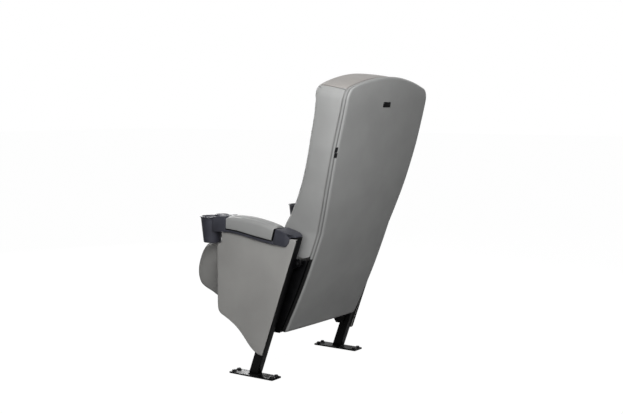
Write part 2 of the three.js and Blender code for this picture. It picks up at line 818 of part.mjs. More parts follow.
function anchorPlaces() {
  const aside = plateWidth / 2 - anchorInset;
  const along = plateLength / 2 - anchorInset;
  const corners = [[-1, -1], [1, -1], [1, 1], [-1, 1]];
  return corners.map(([a, b]) => [legSpacing / 2 + a * aside, b * along]);
}

// Gusset on the leg's inner face that carries the seat pivot and the lower bolt of the back.
function seatBracket() {
  const front = (z) => legRear(z) - legDepth;
  const nose = Array.from({ length: 9 }, (_, i) => {
    const angle = Math.PI - (Math.PI * 0.62 * i) / 8;
    return [pivotForward + noseRadius * Math.cos(angle), pivotHeight + noseRadius * Math.sin(angle)];
  });
  const outline = [
    [front(bracketFootHeight) + legDepth / 2, bracketFootHeight],
    [front(bracketTop) + legDepth / 2, bracketTop],
    ...nose.reverse(),
    [-bracketFootForward, bracketFootHeight + bracketHeelRise],
    [-bracketFootForward + bracketFootLap, bracketFootHeight],
  ];
  const shape = new THREE.Shape(vectors(outline));
  shape.holes.push(circle(pivotForward, pivotHeight, pinWidth / 2 + touch));
  shape.holes.push(circle(peg.y, peg.z, pegWidth / 2 + touch));
  shape.holes.push(circle(lowerBolt.y, lowerBolt.z, (backBolt + boltSlack) / 2));
  return across(shape, bracketInner, bracketOuter);
}

// Ear on the leg's inner face that takes the upper bolt of the back.
function backEar() {
  const { y, z } = upperBolt;
  const lap = y - earReach - earLap;
  const tip = Array.from({ length: 9 }, (_, i) => {
    const angle = -Math.PI / 2 + (Math.PI * i) / 8;
    return [y + earRadius * Math.cos(angle), z + earRadius * Math.sin(angle)];
  });
  const outline = [[lap, z - 2 * earRadius], ...tip, [lap + 2 * earRadius * legLean, z + earRadius]];
  const shape = new THREE.Shape(vectors(outline));
  shape.holes.push(circle(y, z, (backBolt + boltSlack) / 2));
  return across(shape, bracketInner, bracketOuter);
}

// End panel

const armCurve = curveOf(armLineShares);
const armShare = (y) => (y + armFront) / (armPadRear + armFront);
const armLine = (y) => armLineHeight - armDrop * armCurve(armShare(y));
const baseDepth = (y) => baseFrontDepth + (baseRearDepth - baseFrontDepth) * armShare(y);

function panelOutline() {
  const curve = smooth(
    panelCurveShares.map(([along, up]) => [
      -panelToeForward + along * (panelTipBack + panelToeForward),
      panelTipHeight + up * (panelToeHeight - panelTipHeight),
    ]),
    18,
  ).map((point) => [...point, 0]);
  const rear = legRear(panelTopRear) + panelRearLap;
  const hoodFront = armPadRear + 2 * baseWall + running;
  const steps = 6;
  const top = Array.from({ length: steps + 1 }, (_, i) => {
    const y = hoodFront - ((hoodFront + armFront) * i) / steps;
    return [y, Math.min(armLine(y) - baseDepth(y), capFloor) - touch, 0];
  });
  const notch = [
    [-panelNotchForward, capFloor - touch, 0], [-panelNotchForward, panelNotchHeight, panelNotchRadius],
  ];
  return [
    ...curve, [rear, panelTopRear], [hoodFront, panelTopRear, 0], ...top,
    ...notch, [-panelForward, panelNotchHeight], [-panelForward, panelToeHeight + panelToeRadius],
    [-panelForward + panelToeRadius / 9, panelToeHeight + panelToeRadius / 3],
  ];
}

function panelBoard() {
  const outline = inset(panelOutline(), panelCover + touch);
  const holes = panelScrewPlaces().map(({ y, z }) =>
    rod(panelScrew + boltSlack, panelInner - overrun, panelOuter + overrun, y, z, 12),
  );
  const sinks = panelScrewPlaces().map(({ y, z }) =>
    rod(panelScrewHead + boltSlack, boardOuter - panelScrewHeadHeight - touch, panelOuter, y, z, 16),
  );
  return cut(across(outline, panelInner, boardOuter), ...holes, ...sinks);
}

// Padded cover: a shallow tray over the board, rounded round its outer face.
function panelCoverBody() {
  const skin = across(
    rounded(panelOutline(), 3 * panelEdgeRound), panelInner - panelEdgeRound, panelOuter, panelEdgeRound,
  );
  const core = across(
    inset(panelOutline(), panelCover), panelInner - overrun, panelOuter - panelCover,
  );
  const behind = block(
    panelInner - 2 * overrun, panelInner, -panelForward - overrun, capRear + overrun, 0, padCrest,
  );
  return cut(skin, core, behind);
}

function panelScrewPlaces() {
  return panelScrewHeightShares.map((share) => {
    const z = panelTipHeight + share * (panelTopRear - panelTipHeight);
    return { y: legRear(z) - legDepth / 2, z };
  });
}

function panelScrewBody({ y, z }) {
  const head = rod(
    panelScrewHead, boardOuter - panelScrewHeadHeight, boardOuter, y, z, 16,
  );
  return join(head, rod(panelScrew, panelInner + touch, boardOuter - touch, y, z, 12));
}

// Arm

// Upholstered pad: sections along the arm, crowned across, with softened ends and a slanted rear joint.
function armPad() {
  const span = armPadRear + armFront;
  const crest = curveOf([[0, padFrontShare], [padCrestShare, 1], ...padTopShares, [1, 0]]);
  const rearTop = armLine(armPadRear) + padRearHeight;
  const half = armHalf - touch;
  const stations = [0, 0.006, 0.03, 0.1, 0.2, 0.3, 0.4, 0.5, 0.6, 0.7, 0.8, 0.9, 0.97, 0.994, 1];
  const sections = stations.map((share) => {
    const y = -armFront + share * span;
    const low = armLine(y) + touch;
    const end = Math.min(share, 1 - share) * span;
    const drop = quarter(Math.max(0, 1 - end / padEndRound), padEndRound);
    const high = rearTop + crest(share) * (padCrest - rearTop) - drop;
    const arc = [0, 0.25, 0.5, 0.75, 1].map((turn) => (turn * Math.PI) / 2);
    const side = arc.map((turn) => [
      half - padRound + padRound * Math.cos(turn), high - padCrown - padRound + padRound * Math.sin(turn),
    ]);
    const crown = [0.7, 0.4, 0].map((out) => [
      out * (half - padRound), high - padCrown * out * out,
    ]);
    const right = [[half, low], ...side, ...crown];
    const left = right.slice(0, -1).reverse().map(([x, z]) => [-x, z]);
    const lean = (z) => padRearSlant * share ** 6 * ((z - low) / padRearHeight);
    return [...right, ...left].map(([x, z]) => [armCentre + x, y + lean(z), z]);
  });
  return loft(sections);
}

// Moulded tray under the pad with the hood over the top of the leg.
function armBase() {
  const steps = 8;
  const line = (offset, from, to) =>
    Array.from({ length: steps + 1 }, (_, i) => {
      const y = from + ((to - from) * i) / steps;
      return [y, armLine(y) - offset(y)];
    });
  const strip = (low, high, from, to) => [...line(low, from, to), ...line(high, from, to).reverse()];
  const tray = across(
    strip(baseDepth, () => 0, touch - armFront, armPadRear + baseWall), armInner, armOuter, baseRound,
  );
  const under = across(
    strip((y) => baseDepth(y) + overrun, () => baseTop, baseWall - armFront, armPadRear + 2 * overrun),
    armInner + baseWall, armOuter - baseWall,
  );
  const front = [armPadRear + touch, armLine(armPadRear) - baseRearDepth];
  const frontTop = [armPadRear + padRearSlant + touch, capFrontHeight];
  const capOutline = rounded(
    [front, [cheekLowBack, cheekLow], [cheekToeBack, cheekToeHeight], [cheekHeelBack, cheekHeelHeight],
      [cheekHeelBack - capRound, capFloor], [capRear, capFloor], [capRear, capRearHeight],
      [capShoulderBack, capShoulderHeight], [capCrestBack, capCrest], frontTop],
    capRound * 2,
  );
  const hood = across(capOutline, armInner, armOuter, capRound);
  const deep = [
    [armPadRear + 2 * baseWall, 0], [capRear - baseWall, 0], [capRear - baseWall, capRearHeight - capRound],
    [capShoulderBack - baseWall, capShoulderHeight - baseTop], [capCrestBack, capCrest - baseTop],
    [armPadRear + padRearSlant + baseWall, capFrontHeight - baseTop],
    [armPadRear + 2 * baseWall, armLine(armPadRear)],
  ];
  const main = across(deep, armInner + baseWall, armOuter - undercutDepth - baseWall);
  const cheekHollow = across(
    rectangle(armPadRear + 2 * baseWall, 0, cheekHeelBack + overrun, cheekHeelHeight + touch),
    armCentre, panelOuter + running,
  );
  const undercut = across(
    [[cheekRearBack, cheekRearTop], [cheekHeelBack + touch, cheekHeelHeight], [cheekHeelBack, capFloor - overrun],
      [capRear + overrun, capFloor - overrun], [capRear + overrun, cheekRearTop]],
    armOuter - undercutDepth, armOuter + overrun,
  );
  const plan = (wall) => {
    const [x0, x1, y1] = [armInner + wall, armOuter - wall, capRear - wall];
    return upright(rounded([[x0, 0], [x1, 0], [x1, y1], [x0, y1]], capPlanRound - wall), 0, padCrest);
  };
  const roundedHood = overlap(hood, plan(0));
  return cut(join(tray, roundedHood), under, overlap(main, plan(baseWall)), cheekHollow, undercut);
}

// Steel bar under the tray, welded to the front of the leg.
function armRail() {
  const steps = 8;
  const high = (y) => armLine(y) - baseTop - touch;
  const legFront = (z) => legRear(z) - legDepth - touch;
  const rearHigh = high(armPadRear) - railThick;
  const end = legFront(rearHigh);
  const line = (offset) =>
    Array.from({ length: steps + 1 }, (_, i) => {
      const y = -railForward + ((armPadRear + railForward) * i) / steps;
      return [y, high(y) - offset];
    });
  const outline = [
    ...line(railThick), [legFront(rearHigh - railThick), rearHigh - railThick], [end, rearHigh],
    ...line(0).reverse(),
  ];
  return across(outline, armCentre - railWidth / 2, armCentre + railWidth / 2);
}

// Cup, carrying block and lip as one moulding, hollow under the block.
function cupHolder(faces = 36) {
  const floor = cupTop - cupHeight;
  const turned = (profile) =>
    new THREE.LatheGeometry(vectors(profile), faces)
      .rotateX(Math.PI / 2)
      .translate(armCentre, cupBack, 0);
  const lipRadius = cupTopRadius + cupLip;
  const outside = turned([
    [0, floor], [cupBottomRadius, floor], [cupTopRadius, cupTop - cupLipHeight],
    [lipRadius, cupTop - cupLipHeight], [lipRadius, cupTop], [0, cupTop],
  ]);
  const taper = (cupTopRadius - cupBottomRadius) / cupHeight;
  const inside = turned([
    [0, floor + cupFloor], [cupBottomRadius - cupWall, floor + cupFloor],
    [cupTopRadius - cupWall + taper * overrun, cupTop + overrun], [0, cupTop + overrun],
  ]);
  const rear = -armFront - touch;
  const slope = blockRise / (rear - cupBack);
  const top = (y) => cupTop + slope * (y - cupBack);
  const front = rear - blockForward;
  const body = across(
    [[front, capFloor], [rear, capFloor], [rear, top(rear)], [front, top(front)]],
    armInner, armOuter, blockRound,
  );
  const dish = new THREE.CylinderGeometry(dishRadius, dishRadius, blockRise + dishRise, faces)
    .rotateX(Math.PI / 2)
    .translate(armCentre, dishBack, cupTop + (blockRise + dishRise) / 2);
  const hollow = new THREE.CylinderGeometry(dishRadius - dishRim, dishRadius - dishRim, dishDepth, faces)
    .rotateX(Math.PI / 2)
    .translate(armCentre, dishBack, top(rear) + dishRise - dishDepth / 2 + touch);
  const bay = across(
    [[cupBack + cupTopRadius + cupWall, 0], [rear - blockWall, 0], [rear - blockWall, top(rear) - blockWall],
      [cupBack + cupTopRadius + cupWall, top(cupBack + cupTopRadius) - blockWall]],
    armInner + blockWall, armOuter - blockWall,
  );
  return cut(join(outside, cut(body, bay), dish), hollow, inside);
}

// Assembly

function buildSide(parent, side) {
  const named = (name, geometry, material) => piece(parent, name + "_" + side, geometry, material);
  named("leg", legTube(), blackSteel());
  named("leg_plug", legPlug(), blackPlastic());
  named("foot_plate", footPlate(), blackSteel());
  anchorPlaces().forEach(([x, y], i) => {
    piece(parent, "anchor_bolt_" + side + "_" + (i + 1), anchor(), zinc()).position.set(x, y, 0);
  });
  named("seat_bracket", seatBracket(), blackSteel());
  named("back_ear", backEar(), blackSteel());
  for (const [name, place] of [["upper", upperBolt], ["lower", lowerBolt]]) {
    named("back_bolt_" + name, backBoltBody(place), zinc());
    const tube = sleeve(
      sleeveWidth, backBolt + boltSlack, tubHalf + touch, bracketInner - touch, place.y, place.z,
    );
    named("back_sleeve_" + name, tube, blackSteel());
  }
  const pin = join(
    rod(pinWidth, seatHalf + touch, bracketOuter + touch + pinHeadHeight, pivotForward, pivotHeight),
    rod(pinHead, bracketOuter + touch, bracketOuter + touch + pinHeadHeight, pivotForward, pivotHeight),
  );
  named("pivot_pin", pin, zinc());
  const stop = join(
    rod(pegWidth, seatHalf + running, bracketOuter + touch, peg.y, peg.z),
    rod(peg.buffer, bracketOuter + touch, bracketOuter + touch + pegHead, peg.y, peg.z),
  );
  named("stop_peg", stop, blackSteel());
  const buffer = sleeve(
    peg.buffer, pegWidth + 2 * touch, seatHalf + running, bracketInner - touch, peg.y, peg.z,
  );
  named("stop_buffer", buffer, rubber());
  named("end_panel_board", panelBoard(), wood());
  named("end_panel_cover", panelCoverBody(), grey());
  panelScrewPlaces().forEach((place, i) => named("panel_screw_" + (i + 1), panelScrewBody(place), zinc()));
  named("arm_rail", armRail(), blackSteel());
  named("arm_base", armBase(), charcoal());
  named("arm_pad", armPad(), grey());
  named("cup_holder", cupHolder(), charcoal());
  named("hinge_plate", hingePlate(), blackSteel());
  const plateOuter = seatHalf + touch + hingePlateThick;
  const bush = cut(
    join(
      rod(pinWidth + 2 * bushWall, seatHalf + touch, plateOuter + touch + bushWall, pivotForward, pivotHeight),
      rod(bushFlange, plateOuter + touch, bracketInner - touch, pivotForward, pivotHeight),
    ),
    rod(pinWidth + 2 * pinSlack, seatHalf - overrun, bracketInner + overrun, pivotForward, pivotHeight),
  );
  named("pivot_bush", bush, nylon());
}

const left = new THREE.Group();
buildSide(left, "left");
const right = new THREE.Group();
buildSide(right, "right");
right.scale.x = -1;
root.add(left, right);

piece(root, "back_outer_panel", outerPanel(), grey());
piece(root, "back_shell", backShell(), blackPlastic());
piece(root, "back_cushion", backCushion(), grey());
piece(root, "back_frame", backFrame(), blackSteel());
piece(root, "seat_cushion", seatCushion(), grey());
piece(root, "seat_pan", seatPan(), blackSteel());
const tubeEnd = seatHalf - panWall - touch;
const tube = sleeve(
  crossTubeWidth, crossTubeWidth - 2 * crossTubeWall, -tubeEnd, tubeEnd, crossTube.y, crossTube.z,
);
piece(root, "seat_cross_tube", tube, blackSteel());

const extent = new THREE.Box3().setFromObject(root);
root.position.y = -(extent.min.y + extent.max.y) / 2;

export default root;
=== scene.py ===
"""Looks of a high-backed tip-up auditorium seat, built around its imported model.

Plain lengths are millimetres, measured from the middle between the foot plates; place() turns them
into metres in the shared frame. The sitter faces -Y, the sitter's left is +X and Z is up.
"""
from contextlib import contextmanager
from math import asin, cos, exp, hypot, pi, radians, sin

import bmesh
import bpy
import numpy as np
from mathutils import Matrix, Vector
from mathutils.bvhtree import BVHTree
from mathutils.geometry import delaunay_2d_cdt
from mathutils.kdtree import KDTree


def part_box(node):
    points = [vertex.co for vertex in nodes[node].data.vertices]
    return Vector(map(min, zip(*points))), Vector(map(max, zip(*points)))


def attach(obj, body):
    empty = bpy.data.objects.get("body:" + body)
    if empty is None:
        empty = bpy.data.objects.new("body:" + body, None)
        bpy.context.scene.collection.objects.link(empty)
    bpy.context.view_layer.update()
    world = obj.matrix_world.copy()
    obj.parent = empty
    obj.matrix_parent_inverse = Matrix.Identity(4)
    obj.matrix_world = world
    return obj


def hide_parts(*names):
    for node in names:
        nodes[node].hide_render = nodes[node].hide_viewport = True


norm = np.linalg.norm
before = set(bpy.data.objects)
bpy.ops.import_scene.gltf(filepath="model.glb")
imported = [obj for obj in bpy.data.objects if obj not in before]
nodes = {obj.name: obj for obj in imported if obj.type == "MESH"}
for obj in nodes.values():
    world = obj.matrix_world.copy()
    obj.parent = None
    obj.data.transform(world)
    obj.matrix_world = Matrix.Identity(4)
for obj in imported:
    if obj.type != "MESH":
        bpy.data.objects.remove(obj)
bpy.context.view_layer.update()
scene = bpy.context.scene
SIDES = (("left", 1), ("right", -1))
plate_low, plate_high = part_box("foot_plate_left")
SHIFT = (plate_low.y + plate_high.y) / 2
SAME_POINT = 2e-5


def place(points):
    """Millimetres from the middle between the foot plates, as metres in the shared frame."""
    out = np.array(points, float).reshape(-1, 3) / 1000
    out[:, 1] += SHIFT
    return out


def adjust(target, **values):
    for key, value in values.items():
        setattr(target, key, value)
    return target


# ---- materials


def fill(tree, node, inputs):
    """Sets inputs of a node from (socket, value) pairs; a value may be another node's output."""
    for socket, value in inputs:
        if isinstance(value, bpy.types.NodeSocket):
            tree.links.new(value, node.inputs[socket])
        else:
            node.inputs[socket].default_value = value


def new_node(tree, kind, inputs=(), **values):
    node = adjust(tree.nodes.new(kind), **values)
    fill(tree, node, inputs)
    return node


def range_inputs(low, high, to_low, to_high):
    return ("From Min", low), ("From Max", high), ("To Min", to_low), ("To Max", to_high)


def scaled(color, share):
    return tuple(c * share for c in color)


class Paint:
    """One procedural material and the nodes that feed it."""

    def __init__(self, name, color, roughness, metallic=0.0, specular=0.5, sheen=0.0):
        self.mat = bpy.data.materials.new(name)
        self.mat.use_nodes = True
        self.tree = self.mat.node_tree
        self.shader = self.tree.nodes["Principled BSDF"]
        self.feed(
            ("Base Color", (*color, 1)), ("Roughness", roughness), ("Metallic", metallic),
            ("Specular IOR Level", specular), ("Sheen Weight", sheen), ("Sheen Roughness", 0.5),
        )
        self.coord = self.add("ShaderNodeTexCoord", output="Object")
        self.normal = None

    def feed(self, *inputs):
        fill(self.tree, self.shader, inputs)

    def add(self, kind, *inputs, output=0, **values):
        return new_node(self.tree, kind, inputs, **values).outputs[output]

    def noise(self, scale, detail, rough=0.5, stretch=None):
        """Noise over the object, with its coordinates stretched along the axes if asked for."""
        vector = self.coord
        if stretch:
            vector = self.add("ShaderNodeMapping", ("Vector", vector), ("Scale", stretch))
        inputs = ("Scale", scale), ("Detail", detail), ("Roughness", rough)
        return self.add("ShaderNodeTexNoise", ("Vector", vector), *inputs)

    def pebbles(self, scale):
        inputs = ("Vector", self.coord), ("Scale", scale)
        return self.add("ShaderNodeTexVoronoi", *inputs, output="Distance", feature="SMOOTH_F1")

    def marks(self, name):
        """A value that the mesh carries at its points."""
        return self.add("ShaderNodeAttribute", output="Fac", attribute_name=name)

    def range(self, value, *ends):
        return self.add("ShaderNodeMapRange", ("Value", value), *range_inputs(*ends))

    def mix(self, fac, a, b, blend="MIX"):
        a, b = ((*c, 1) if isinstance(c, tuple) else c for c in (a, b))
        look = {"data_type": "RGBA", "blend_type": blend}
        return self.add("ShaderNodeMix", (0, fac), (6, a), (7, b), output=2, **look)

    def bump(self, height, strength, distance):
        """Relief on top of what is there already."""
        inputs = [("Strength", strength), ("Distance", distance), ("Height", height)]
        if self.normal is not None:
            inputs.append(("Normal", self.normal))
        self.normal = self.add("ShaderNodeBump", *inputs)
        self.feed(("Normal", self.normal))

    def color(self, value):
        self.feed(("Base Color", value))

    def rough(self, value, *ends):
        self.feed(("Roughness", self.range(value, *ends)))


COOL = (0.995, 1.004, 0.992)
WARM = (1.01, 0.997, 0.962)
TOP_TINT = (1.06, 0.99, 0.95)
SEAM_SHADE_SHARE = 0.08


def upholstery(name, tone, tint=COOL, seams=True):
    """Grey leatherette: pebbled grain, slow colour drift, painted shade in the sewn lines, warmer
    top panel.
    """
    p = Paint(name, (tone,) * 3, 0.5, specular=0.4, sheen=0.12)
    drift = p.range(p.noise(5.5, 3), 0.35, 0.65, 0, 1)
    color = p.mix(drift, scaled(tint, tone * 0.93), scaled(tint, tone * 1.07))
    grain = p.pebbles(620)
    speck = p.range(grain, 0.1, 0.75, 1.0, 0.9)
    color = p.mix(1.0, color, p.mix(speck, (0.9,) * 3, (1.0,) * 3), "MULTIPLY")
    if seams:
        color = p.mix(p.marks("top"), color, p.mix(1.0, color, TOP_TINT, "MULTIPLY"))
        # Painted shade: along the seam marks the colour falls almost to black, as the sewn grooves
        # look in shade.
        color = p.mix(p.marks("seam"), color, scaled(tint, tone * SEAM_SHADE_SHARE))
    p.color(color)
    p.rough(p.noise(24, 4), 0.3, 0.7, 0.46, 0.58)
    p.bump(p.noise(11, 3), 0.2, 0.004)
    p.bump(grain, 0.25, 0.0006)
    p.bump(p.noise(1500, 2), 0.12, 0.0002)
    return p.mat


def hard(name, color, rough, shift, wear=None, bumps=(), **look):
    """A hard material made of noise patterns, each given as the arguments of Paint.noise.

    shift is a pattern, the range that counts and the two ends of the colour. wear is a pattern,
    the range that counts and what it adds to the roughness. bumps are (pattern, strength, depth).
    """
    p = Paint(name, color, rough, **look)
    pattern, ends, shades = shift
    tones = (scaled(color, share) for share in shades)
    p.color(p.mix(p.range(p.noise(*pattern), *ends, 0, 1), *tones))
    if wear:
        pattern, ends, spread = wear
        p.rough(p.noise(*pattern), *ends, *(rough + more for more in spread))
    for pattern, strength, depth in bumps:
        p.bump(p.noise(*pattern), strength, depth)
    return p.mat


def moulded(name, color, rough, grain, specular):
    """Moulded plastic with a fine spark-eroded texture and slight handling marks."""
    return hard(
        name, color, rough, ((18, 5, 0.6), (0.4, 0.72), (1, 1.4)),
        ((30, 4), (0.3, 0.7), (-0.06, 0.08)),
        [((grain, 3, 0.7), 0.3, 0.0003), ((7, 2), 0.12, 0.002)], specular=specular,
    )


STREAK = (1, 3, 0.5, (900, 900, 40))
FIBRE = (1, 4, 0.5, (60, 60, 900))
GREY_TONE, THREAD_TONE = 0.27, 0.2
GREY = upholstery("grey_leatherette", GREY_TONE)
GREY_WARM = upholstery("grey_leatherette_lower", GREY_TONE, WARM)
THREAD = upholstery("grey_thread", THREAD_TONE, seams=False)
CHARCOAL = moulded("charcoal_moulding", (0.032, 0.033, 0.043), 0.4, 900, 0.45)
STEEL = hard(
    "black_powder_coat", (0.0018, 0.0018, 0.0021), 0.32, ((9, 4), (0.4, 0.7), (1, 1.6)),
    ((45, 5), (0.3, 0.7), (-0.05, 0.1)), [((120, 1), 0.05, 0.0003)], specular=0.18,
)
BOLT = hard(
    "black_zinc", (0.035, 0.035, 0.037), 0.36, ((60, 3), (0, 1), (0.6, 1)),
    (STREAK, (0.2, 0.8), (-0.08, 0.15)), [(STREAK, 0.12, 0.0002)], metallic=0.9,
)
BOARD = hard(
    "black_board_fibre", (0.0035,) * 3, 0.75, (FIBRE, (0, 1), (1, 1.8)),
    bumps=[(FIBRE, 0.3, 0.0006)], specular=0.2,
)
BLACK = moulded("black_nylon", (0.003, 0.003, 0.0035), 0.6, 600, 0.2)
RUBBER = hard(
    "black_rubber", (0.01,) * 3, 0.8, ((90, 3), (0, 1), (1, 1.7)),
    bumps=[((700, 3), 0.3, 0.0004)], specular=0.3,
)

# ---- meshes


def linked(name, data):
    obj = bpy.data.objects.new(name, data)
    scene.collection.objects.link(obj)
    return obj


def dress(obj, *materials, smooth=True):
    obj.data.materials.clear()
    for material in materials:
        obj.data.materials.append(material)
    obj.data.polygons.foreach_set("use_smooth", [smooth] * len(obj.data.polygons))


def made(name, points, faces, material, metres=False, smooth=True):
    mesh = bpy.data.meshes.new(name)
    mesh.from_pydata((np.array(points, float) if metres else place(points)).tolist(), [], faces)
    mesh.validate()
    obj = linked(name, mesh)
    dress(obj, material, smooth=smooth)
    outward(obj)
    return obj


def declare(obj, body, node=None):
    """Says what a piece rides on and hides the solid it stands for."""
    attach(obj, body)
    if node:
        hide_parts(node)
    return obj


@contextmanager
def opened(obj):
    """The object's mesh, open for edits that are written back at the end."""
    bm = bmesh.new()
    bm.from_mesh(obj.data)
    yield bm
    bm.to_mesh(obj.data)
    bm.free()


def outward(obj):
    """Turns every face of a closed mesh outwards."""
    with opened(obj) as bm:
        bmesh.ops.recalc_face_normals(bm, faces=bm.faces)
        if bm.calc_volume(signed=True) < 0:
            bmesh.ops.reverse_faces(bm, faces=bm.faces)


def split_at(bm, at, normal):
    geometry = list(bm.verts) + list(bm.edges) + list(bm.faces)
    bmesh.ops.bisect_plane(bm, geom=geometry, plane_co=at, plane_no=normal)


def coords(obj, what="co"):
    """The places, or the normals, of an object's points."""
    return point_values(obj.data, what)


def point_values(mesh, what):
    out = np.zeros(len(mesh.vertices) * 3)
    mesh.vertices.foreach_get(what, out)
    return out.reshape(-1, 3)


def set_coords(obj, points):
    obj.data.vertices.foreach_set("co", np.asarray(points, np.float32).ravel())
    obj.data.update()


def numbered(points, new):
    """Adds new points to a list and gives their numbers."""
    base = len(points)
    points.extend(new)
    return list(range(base, len(points)))


def band(a, b):
    """Faces between two closed rings of point numbers; one of them may be a single point."""
    count = max(len(a), len(b))
    a, b = ([int(n) for n in ring] * (count if len(ring) == 1 else 1) for ring in (a, b))
    after = [(i + 1) % count for i in range(count)]
    return [tuple(dict.fromkeys((a[i], b[i], b[j], a[j]))) for i, j in enumerate(after)]


def bands(rings):
    return [face for a, b in zip(rings[:-1], rings[1:]) for face in band(a, b)]


def skin(rings):
    """Faces along a row of rings, closed by a flat face at either end."""
    return bands(rings) + [tuple(reversed(rings[0])), tuple(rings[-1])]


def lofted(name, rings, material, faces=skin, **look):
    """A body along a row of rings of points; faces joins the numbers of those points."""
    points = []
    numbers = [numbered(points, ring) for ring in rings]
    return made(name, points, faces(numbers), material, **look)


def arc(x, y, radius, turns):
    return [(x + radius * cos(t), y + radius * sin(t)) for t in turns]


def modify(obj, kind, **values):
    return adjust(obj.modifiers.new(kind.lower(), kind), **values)


def baked(obj):
    """Applies the object's modifiers and leaves none."""
    graph = bpy.context.evaluated_depsgraph_get()
    mesh = bpy.data.meshes.new_from_object(obj.evaluated_get(graph))
    old = obj.data
    obj.modifiers.clear()
    obj.data = mesh
    bpy.data.meshes.remove(old)
    return obj


def applied(obj, kind, **values):
    modify(obj, kind, **values)
    return baked(obj)


def relaxed(obj, rounds):
    return applied(obj, "SMOOTH", iterations=rounds, factor=0.5)


def soft_edges(obj, width, angle=32, segments=2):
    modify(
        obj, "BEVEL", width=width, segments=segments, limit_method="ANGLE",
        angle_limit=radians(angle), harden_normals=True, use_clamp_overlap=True,
    )


def discard(obj):
    bpy.data.objects.remove(obj)


def run_along(path):
    """Distance from the start of a polyline to each of its points."""
    return np.concatenate([[0], np.cumsum(norm(np.diff(path, axis=0), axis=1))])


def at_run(points, run, at):
    """The places at some distances along a polyline."""
    return np.stack([np.interp(at, run, column) for column in points.T], 1)


def line_points(path, step=0.0015):
    """Points at an even small step along a polyline, in metres."""
    path = np.asarray(path, float)
    out = []
    for a, b in zip(path[:-1], path[1:]):
        count = max(1, int(norm(b - a) / step))
        out.extend(a + (b - a) * k / count for k in range(count))
    out.append(path[-1])
    return np.array(out)


def tree_of(points):
    tree = KDTree(len(points))
    for i, p in enumerate(points):
        tree.insert(p, i)
    tree.balance()
    return tree


def surface(obj):
    bm = bmesh.new()
    bm.from_mesh(obj.data)
    tree = BVHTree.FromBMesh(bm)
    bm.free()
    return tree


def nearest(obj, path):
    """The points of a surface that are nearest to those of a path, and its normals there."""
    tree = surface(obj)
    hits = [tree.find_nearest(Vector(p)) for p in path]
    return np.array([hit[0] for hit in hits]), np.array([hit[1] for hit in hits])


def bell(gap, width):
    return exp(-((gap / width) ** 2))


def sew(obj, paths, depth, width, swell, tone):
    """Sinks the surface along sewn lines, swells it beside them and marks them for the painted seam
    shade.
    """
    points, outs = coords(obj), coords(obj, "normal")
    attributes = obj.data.attributes
    attribute = attributes.get("seam") or attributes.new("seam", "FLOAT", "POINT")
    marks = np.zeros(len(points))
    attribute.data.foreach_get("value", marks)
    tree = tree_of(np.vstack([line_points(p) for p in paths]))
    for i, p in enumerate(points):
        gap = tree.find(p)[2]
        if gap > 6 * width:
            continue
        puff = swell * bell(gap - 2.6 * width, 1.3 * width)
        points[i] += outs[i] * (puff - depth * bell(gap, width))
        # tone sets how dark the painted seam shade is.
        marks[i] = max(marks[i], tone * bell(gap, 0.5 * width))
    set_coords(obj, points)
    attribute.data.foreach_set("value", marks)
    obj.data.update()


def painted_shade_lines(obj, paths, width):
    """Paints shade along lines without sinking the surface."""
    sew(obj, paths, 0.0, width, 0.0, 1.0)


STITCH_PITCH, STITCH_LONG, STITCH_THICK = 0.0062, 0.0042, 0.00075
STITCH_LIFT, STITCH_SINK = 0.0003, -0.0002
STITCH_RINGS = ((0, 0.3), (0.2, 1), (0.8, 1), (1, 0.3))


def stitches(name, obj, path, body):
    """A row of thread stitches lying on a surface along a path."""
    dense = line_points(path, 0.001)
    run = run_along(dense)
    starts = np.arange(0, run[-1] - STITCH_LONG, STITCH_PITCH)
    ends = (at_run(dense, run, starts + along) for along in (0, STITCH_LONG))
    (heads, outs), (tails, _) = (nearest(obj, end) for end in ends)
    turns = [k * pi / 3 for k in range(6)]
    points, faces = [], []
    for a, b, out in zip(heads, tails, outs):
        along = b - a
        if norm(along) < STITCH_LONG / 3:
            continue
        aside = np.cross(out, along / norm(along))
        aside /= norm(aside)
        rings = []
        for share, wide in STITCH_RINGS:
            centre = a + along * share + out * (STITCH_LIFT if 0 < share < 1 else STITCH_SINK)
            section = arc(0, 0, wide * STITCH_THICK, turns)
            rings.append(numbered(points, [centre + aside * x + out * y for x, y in section]))
        faces.extend(skin(rings))
    return declare(made(name, points, faces, THREAD, metres=True), body)


# ---- cloth

CLOTH_FRAMES = 20
CLOTH = {
    "quality": 5, "mass": 0.3, "tension_stiffness": 15, "compression_stiffness": 15,
    "shear_stiffness": 8, "bending_stiffness": 0.8, "use_pressure": True,
    "vertex_group_mass": "held",
}


def inflate(obj, voxel, pressure, cap, held):
    """Swells a copy of obj as cloth. Gives the copy, its rest points and how far each one moved.
    No point moves further than cap, and held gives how firmly each one is held."""
    sim = linked(obj.name + "_sim", obj.data.copy())
    applied(sim, "REMESH", mode="VOXEL", voxel_size=voxel, use_smooth_shade=True)
    relaxed(sim, 4)
    rest = coords(sim)
    group = sim.vertex_groups.new(name="held")
    for i, weight in enumerate(held(rest, coords(sim, "normal"))):
        if weight > 0.01:
            group.add([i], float(min(1, weight)), "REPLACE")
    cloth = modify(sim, "CLOTH")
    adjust(cloth.settings, uniform_pressure_force=pressure, **CLOTH)
    cloth.settings.effector_weights.gravity = 0
    adjust(cloth.collision_settings, use_collision=False, use_self_collision=False)
    for step in range(1, CLOTH_FRAMES + 1):
        scene.frame_set(step)
    graph = bpy.context.evaluated_depsgraph_get()
    moved = point_values(sim.evaluated_get(graph).to_mesh(), "co") - rest
    sim.modifiers.clear()
    scene.frame_set(1)
    far = norm(moved, axis=1)
    moved *= (cap * np.tanh(far / cap) / np.maximum(far, 1e-9))[:, None]
    return sim, rest, moved


